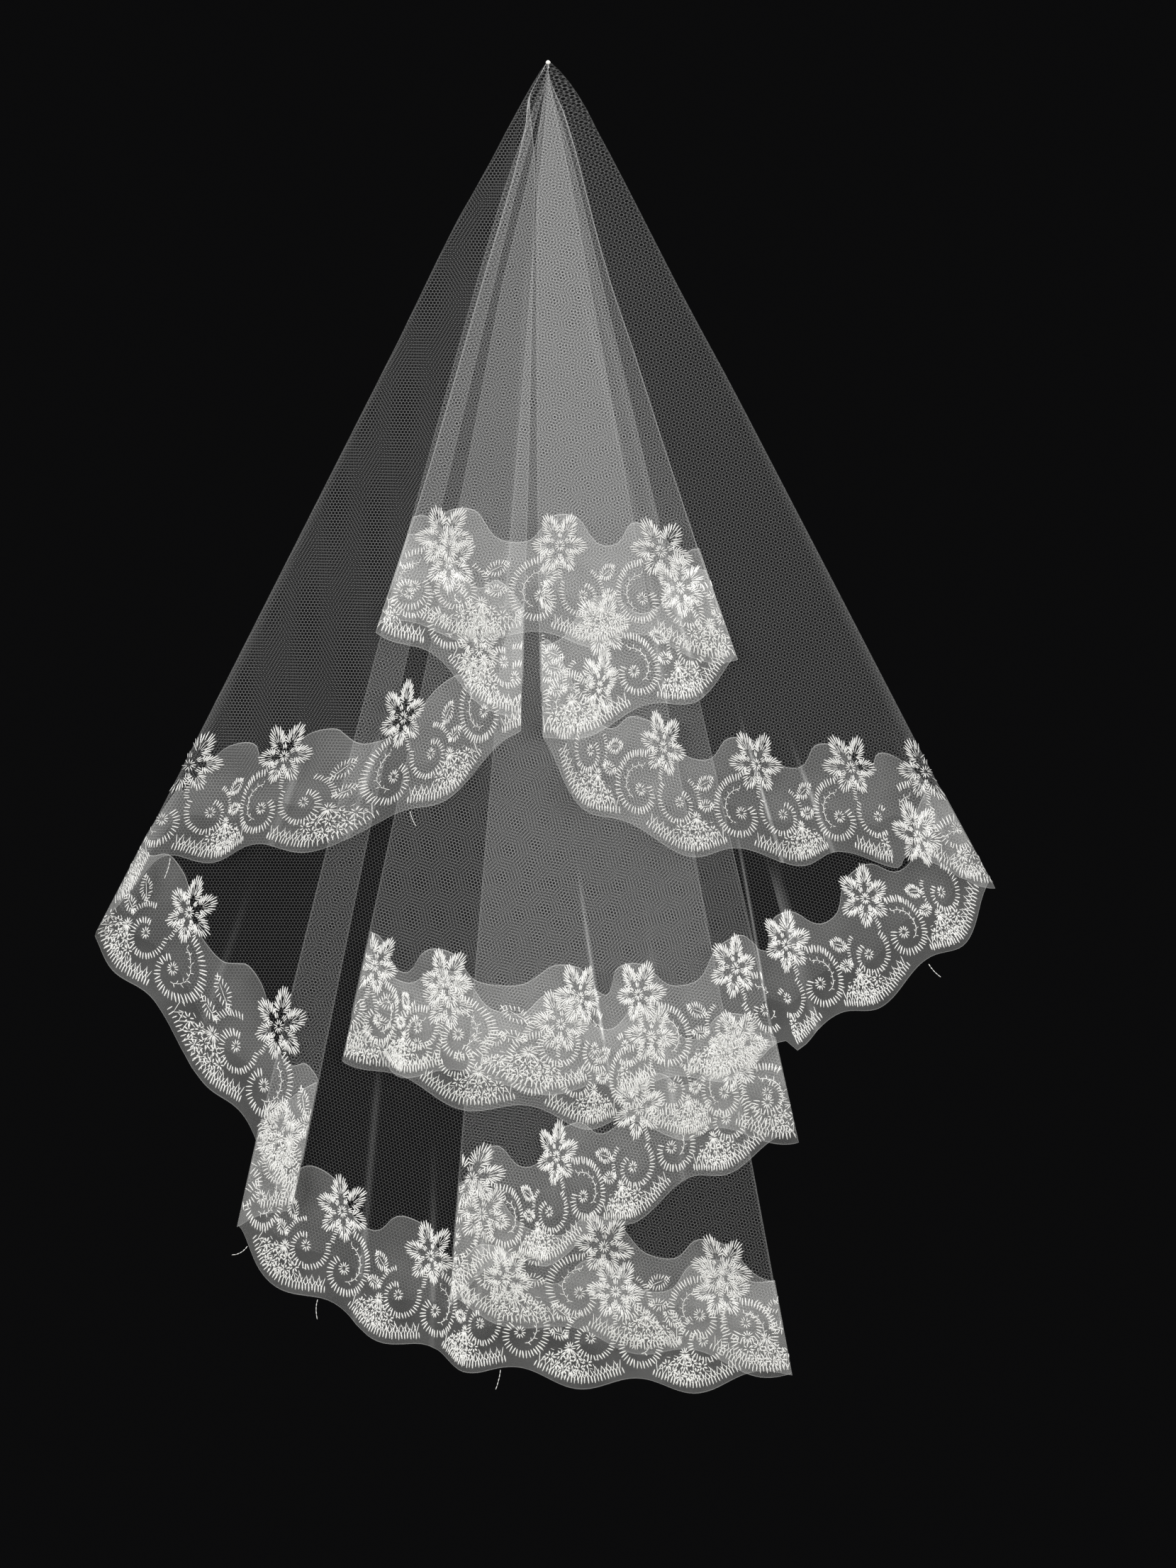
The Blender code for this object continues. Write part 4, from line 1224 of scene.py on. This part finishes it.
def stitch_tree(material: bpy.types.Material, sides: int, rings: int) -> bpy.types.NodeTree:
    """Geometry Nodes tree that lays one rounded thread on every stitch point.

    Args:
        material: Finish of the thread.
        sides: Sides round the thread.
        rings: Rings along it.

    Returns:
        The tree. Its points carry the attributes along, facing, long and wide.
    """
    tree = bpy.data.node_groups.new("lay_stitches", "GeometryNodeTree")
    tree.interface.new_socket("Points", in_out="INPUT", socket_type="NodeSocketGeometry")
    tree.interface.new_socket("Plumpness", in_out="INPUT", socket_type="NodeSocketFloat")
    tree.interface.new_socket("Stitches", in_out="OUTPUT", socket_type="NodeSocketGeometry")
    source = add_node(tree, "NodeGroupInput")
    result = add_node(tree, "NodeGroupOutput")

    def attribute(name: str, kind: str) -> bpy.types.NodeSocket:
        node = add_node(tree, "GeometryNodeInputNamedAttribute", {"data_type": kind}, {"Name": name})
        return node.outputs["Attribute"]

    thread = add_node(tree, "GeometryNodeMeshUVSphere", {},
                      {"Segments": sides, "Rings": rings, "Radius": 0.5})
    smooth = add_node(tree, "GeometryNodeSetShadeSmooth", {}, {"Geometry": thread.outputs["Mesh"]})
    lengthwise = add_node(tree, "FunctionNodeAlignRotationToVector", {"axis": "Z"},
                          {"Vector": attribute("along", "FLOAT_VECTOR")})
    upright = add_node(tree, "FunctionNodeAlignRotationToVector", {"axis": "X", "pivot_axis": "Z"},
                       {"Rotation": lengthwise.outputs["Rotation"],
                        "Vector": attribute("facing", "FLOAT_VECTOR")})
    wide = attribute("wide", "FLOAT")
    flatter = add_node(tree, "ShaderNodeMath", {"operation": "MULTIPLY"},
                       {0: wide, 1: source.outputs["Plumpness"]})
    size = add_node(tree, "ShaderNodeCombineXYZ", {}, {"X": flatter.outputs[0], "Y": wide,
                                                       "Z": attribute("long", "FLOAT")})
    laid = add_node(tree, "GeometryNodeInstanceOnPoints", {},
                    {"Points": source.outputs["Points"], "Instance": smooth.outputs["Geometry"],
                     "Rotation": upright.outputs["Rotation"], "Scale": size.outputs["Vector"]})
    real = add_node(tree, "GeometryNodeRealizeInstances", {}, {"Geometry": laid.outputs["Instances"]})
    dressed = add_node(tree, "GeometryNodeSetMaterial", {}, {"Geometry": real.outputs["Geometry"],
                                                             "Material": material})
    tree.links.new(dressed.outputs["Geometry"], result.inputs["Stitches"])
    return tree


# Height of a laid thread in shares of its width, and how far its round ends reach past a stitch
PLUMPNESS = 0.8
END_SHARE = 0.3


def lay_stitches(name: str, starts: np.ndarray, ends: np.ndarray, facing: np.ndarray,
                 widths: np.ndarray, tree: bpy.types.NodeTree,
                 material: bpy.types.Material) -> bpy.types.Object:
    """Joined mesh of threads between pairs of points.

    Args:
        name: Name of the piece.
        starts: First ends in millimetres.
        ends: Second ends.
        facing: Directions away from the cloth.
        widths: Thread widths.
        tree: Tree made by stitch_tree.
        material: Finish of the thread.

    Returns:
        The piece as a plain mesh.
    """
    points = bpy.data.meshes.new(name + "_points")
    points.vertices.add(len(starts))
    points.vertices.foreach_set("co", ((starts + ends) / 2.0 * MM).ravel())
    values = {
        "along": ("FLOAT_VECTOR", "vector", unit(ends - starts).ravel()),
        "facing": ("FLOAT_VECTOR", "vector", facing.ravel()),
        "long": ("FLOAT", "value", np.linalg.norm(ends - starts, axis=1) * MM + widths * END_SHARE * MM),
        "wide": ("FLOAT", "value", widths * MM),
    }
    for key, (kind, field, data) in values.items():
        layer = points.attributes.new(key, kind, "POINT")
        layer.data.foreach_set(field, data.astype(np.float32))
    carrier = bpy.data.objects.new(name + "_points", points)
    bpy.context.scene.collection.objects.link(carrier)
    modifier = carrier.modifiers.new("stitches", "NODES")
    modifier.node_group = tree
    modifier[tree.interface.items_tree["Plumpness"].identifier] = PLUMPNESS
    graph = bpy.context.evaluated_depsgraph_get()
    mesh = bpy.data.meshes.new_from_object(carrier.evaluated_get(graph))
    bpy.data.objects.remove(carrier, do_unlink=True)
    bpy.data.meshes.remove(points)
    mesh.name = name
    return link_mesh(name, mesh, material)


@dataclass
class Embroidery:
    """The stitched motifs of the lace, one joined piece for each stretch."""

    loop: HangingLoop
    offset: float = 1.25
    sides: int = 4
    rings: int = 4
    wander: float = 0.2
    width_spread: float = 0.15
    seed: int = 7
    loose_steps: int = 5
    loose_width: float = 0.8
    loose_start: float = 2.0

    def build(self) -> list[bpy.types.Object]:
        """Builds every stretch's embroidery."""
        # Its second colour is painted shade in the grooves between the plies
        finish = ThreadFinish("twisted_rayon_thread", "DEDEDC", "D0CFCC", 0.4, 0.35)
        material = finish.make()
        tree = stitch_tree(material, self.sides, self.rings)
        chart = np.array(StitchChart().rows)
        log.info("one repeat has %d stitches", len(chart))
        pieces = []
        for surface in self.loop.surfaces:
            pieces.append(self.stretch_piece(surface, chart, tree, material))
        return pieces

    def loose_ends(self, surface: StretchSurface) -> np.ndarray:
        """Stitches of the loose thread ends of one stretch, as places and heights along its hem."""
        rows = []
        for end in LOOSE_ENDS:
            if end.stretch == surface.name:
                shares = np.linspace(0.0, 1.0, self.loose_steps + 1)
                root = float(surface.place_of_angle(np.array(end.angle_deg)))
                places = root + end.lean_mm * shares ** 2
                heights = self.loose_start - (end.length_mm + self.loose_start) * shares
                for low in range(self.loose_steps):
                    rows.append((places[low], heights[low], places[low + 1], heights[low + 1],
                                 self.loose_width))
        return np.array(rows).reshape(-1, 5)

    def stretch_piece(self, surface: StretchSurface, chart: np.ndarray, tree: bpy.types.NodeTree,
                      material: bpy.types.Material) -> bpy.types.Object:
        """Embroidery of one stretch."""
        rng = np.random.default_rng(self.seed + len(surface.name) + int(surface.length))
        first = int(math.floor(float(surface.phase(np.array(0.0))))) - 1
        last = int(math.ceil(float(surface.phase(np.array(surface.length))))) + 1
        copies = []
        for number in range(first, last + 1):
            rows = chart.copy()
            rows[:, :4] += rng.normal(0.0, self.wander, (len(rows), 4))
            rows[:, 4] *= rng.uniform(1.0 - self.width_spread, 1.0 + self.width_spread, len(rows))
            middle = (rows[:, 0] + rows[:, 2]) / 2.0 / LACE_REPEAT + number
            rows = rows[surface.width_share(middle) > PINCHED_SHARE]
            for column in (0, 2):
                rows[:, column] = surface.place_of_phase(rows[:, column] / LACE_REPEAT + number)
                rows[:, column + 1] += FLOWER_HEIGHT
            copies.append(rows)
        copies.append(self.loose_ends(surface))
        rows = np.concatenate(copies)
        ends = [surface.strip.to_surface(rows[:, column], rows[:, column + 1]) for column in (0, 2)]
        keep = np.ones(len(rows), bool)
        for found, _ in ends:
            keep &= (found >= 0.0) & (found <= surface.length)
        points = []
        for found, reach in ends:
            normal = surface.normals(found[keep], reach[keep])
            points.append(surface.points(found[keep], reach[keep]) + normal * self.offset)
        name = "embroidery_" + surface.name
        piece = lay_stitches(name, points[0], points[1], normal, rows[keep, 4], tree, material)
        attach(piece, BODY)
        log.info("%s: %d stitches, %d faces", name, int(keep.sum()), len(piece.data.polygons))
        return piece


@dataclass
class PinAndHead:
    """The wire pin and its pearl ball head."""

    head_radius: float = 1.8
    head_y: float = -26.0
    wire_radius: float = 0.35
    point_starts: float = 3.0
    sides: int = 24
    ball_rings: int = 17
    ball_flat: float = 0.12

    def turned(self, name: str, profile: list[tuple[float, float]]) -> bpy.types.Mesh:
        """Closed mesh turned round the Y axis from pairs of y and radius."""
        vertices = []
        faces = []
        for y, radius in profile:
            for index in range(self.sides):
                angle = math.tau * index / self.sides
                vertices.append((radius * math.cos(angle) * MM, y * MM, radius * math.sin(angle) * MM))
        for ring in range(len(profile) - 1):
            for index in range(self.sides):
                after = (index + 1) % self.sides
                first = ring * self.sides
                second = first + self.sides
                faces.append((first + index, second + index, second + after, first + after))
        last = (len(profile) - 1) * self.sides
        faces.append(tuple(range(self.sides)))
        faces.append(tuple(reversed(range(last, last + self.sides))))
        mesh = bpy.data.meshes.new(name)
        mesh.from_pydata(vertices, [], faces)
        mesh.update()
        mesh.shade_smooth()
        return mesh

    def build(self) -> None:
        """Builds the wire and the ball."""
        neck = math.asin(self.wire_radius / self.head_radius)
        ball = []
        front = math.pi - self.ball_flat
        for share in np.linspace(0.0, 1.0, self.ball_rings):
            angle = front - (front - neck) * share
            ball.append((self.head_y + self.head_radius * math.cos(angle),
                         self.head_radius * math.sin(angle)))
        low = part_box("pin_shaft")[0][1] / MM
        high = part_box("pin_shaft")[1][1] / MM
        wire = [(low, self.wire_radius), (high - self.point_starts, self.wire_radius),
                (high - self.point_starts * 0.4, self.wire_radius * 0.6), (high, self.wire_radius * 0.12)]
        head = link_mesh("pearl_ball", self.turned("pearl_ball", ball), PearlFinish().make())
        shaft = link_mesh("pin_wire", self.turned("pin_wire", wire), SteelFinish().make())
        for piece, node, slot in ((head, "pin_head", "pearl_head"), (shaft, "pin_shaft", "pin_steel")):
            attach(piece, BODY)
            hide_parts(node)


@dataclass
class Studio:
    """Camera, soft lights, dark surround and a plain pale floor below the veil."""

    veil_y: float = -0.030
    centre_x: float = 0.031
    centre_z: float = -0.5605
    distance: float = 3.5
    frame_height: float = 1.2166
    floor_z: float = -1.40
    floor_radius: float = 0.90
    floor_thickness: float = 0.02
    floor_sides: int = 96
    floor_colour: str = "D9D7D2"
    surround_colour: str = "171718"
    # Below 1, so that one, two and eight layers of net stay as far apart as in the photograph
    gamma: float = 0.78
    # Faces of net that one ray may pass, so that no layer turns black when seen from the side
    net_faces: int = 96

    def build(self) -> None:
        """Builds the studio."""
        scene = bpy.context.scene
        scene.view_settings.view_transform = "Standard"
        scene.view_settings.gamma = self.gamma
        scene.cycles.transparent_max_bounces = self.net_faces
        self.camera()
        self.surround()
        self.lights()
        self.floor()

    def camera(self) -> None:
        """Level camera whose frame at the veil matches the photograph's."""
        data = bpy.data.cameras.new("camera")
        data.sensor_width = 36.0
        data.lens = data.sensor_width * self.distance / self.frame_height
        camera = bpy.data.objects.new("camera", data)
        camera.location = (self.centre_x, self.veil_y - self.distance, self.centre_z)
        camera.rotation_euler = (math.radians(90.0), 0.0, 0.0)
        bpy.context.scene.collection.objects.link(camera)
        bpy.context.scene.camera = camera

    def surround(self) -> None:
        """Dark plain surround, against which white net can be seen."""
        world = bpy.data.worlds.new("dark_surround")
        world.use_nodes = True
        set_inputs(world.node_tree.nodes["Background"],
                   {"Color": linear(self.surround_colour), "Strength": 1.0})
        bpy.context.scene.world = world

    def lights(self) -> None:
        """Large soft lights in front, above and behind."""
        lamps = (
            ("front_left", (-2.4, -3.2, 0.5), 2.2, 150.0),
            ("front_right", (2.4, -3.2, 0.3), 2.2, 130.0),
            ("top", (0.0, -0.9, 2.2), 1.8, 34.0),
            ("back_left", (-2.4, 3.0, 0.4), 2.2, 60.0),
            ("back_right", (2.4, 3.0, 0.4), 2.2, 60.0),
        )
        target = np.array((0.0, self.veil_y, self.centre_z))
        for name, place, size, power in lamps:
            data = bpy.data.lights.new(name, "AREA")
            data.shape = "SQUARE"
            data.size = size
            data.energy = power
            lamp = bpy.data.objects.new(name, data)
            lamp.location = place
            towards = target - np.array(place)
            yaw = math.atan2(towards[1], towards[0])
            pitch = math.atan2(towards[2], math.hypot(towards[0], towards[1]))
            lamp.rotation_euler = (math.pi / 2.0 + pitch, 0.0, yaw - math.pi / 2.0)
            lamp.visible_camera = False
            bpy.context.scene.collection.objects.link(lamp)

    def floor(self) -> None:
        """Round pale floor, outside the photograph's frame."""
        sides = self.floor_sides
        vertices = []
        for z in (self.floor_z, self.floor_z - self.floor_thickness):
            for index in range(sides):
                out = direction(360.0 * index / sides) * self.floor_radius
                vertices.append((out[0], out[1], z))
        faces = [tuple(range(sides)), tuple(reversed(range(sides, 2 * sides)))]
        for index in range(sides):
            after = (index + 1) % sides
            faces.append((index, index + sides, after + sides, after))
        mesh = bpy.data.meshes.new("floor")
        mesh.from_pydata(vertices, [], faces)
        mesh.update()
        material, tree, shader = new_material("pale_floor")
        coords = add_node(tree, "ShaderNodeTexCoord")
        grain = add_node(tree, "ShaderNodeTexNoise", {}, {"Vector": coords.outputs["Object"],
                                                          "Scale": 60.0})
        rough = add_node(tree, "ShaderNodeMapRange", {}, {"Value": grain.outputs["Fac"],
                                                          "To Min": 0.7, "To Max": 0.9})
        tree.links.new(rough.outputs["Result"], shader.inputs["Roughness"])
        set_inputs(shader, {"Base Color": linear(self.floor_colour)})
        floor = link_mesh("floor", mesh, material)


def main() -> None:
    """Builds the veil's looks in order."""
    logging.basicConfig(level=logging.INFO, format="%(message)s")
    Studio().build()
    loop = HangingLoop()
    tulle = TulleSheet(loop).build()
    log.info("tulle: %d faces", len(tulle.data.polygons))
    lace = LaceBand(loop).build()
    log.info("lace ground: %d faces", len(lace.data.polygons))
    stitches = Embroidery(loop).build()
    PinAndHead().build()


if __name__ == "__main__":
    main()
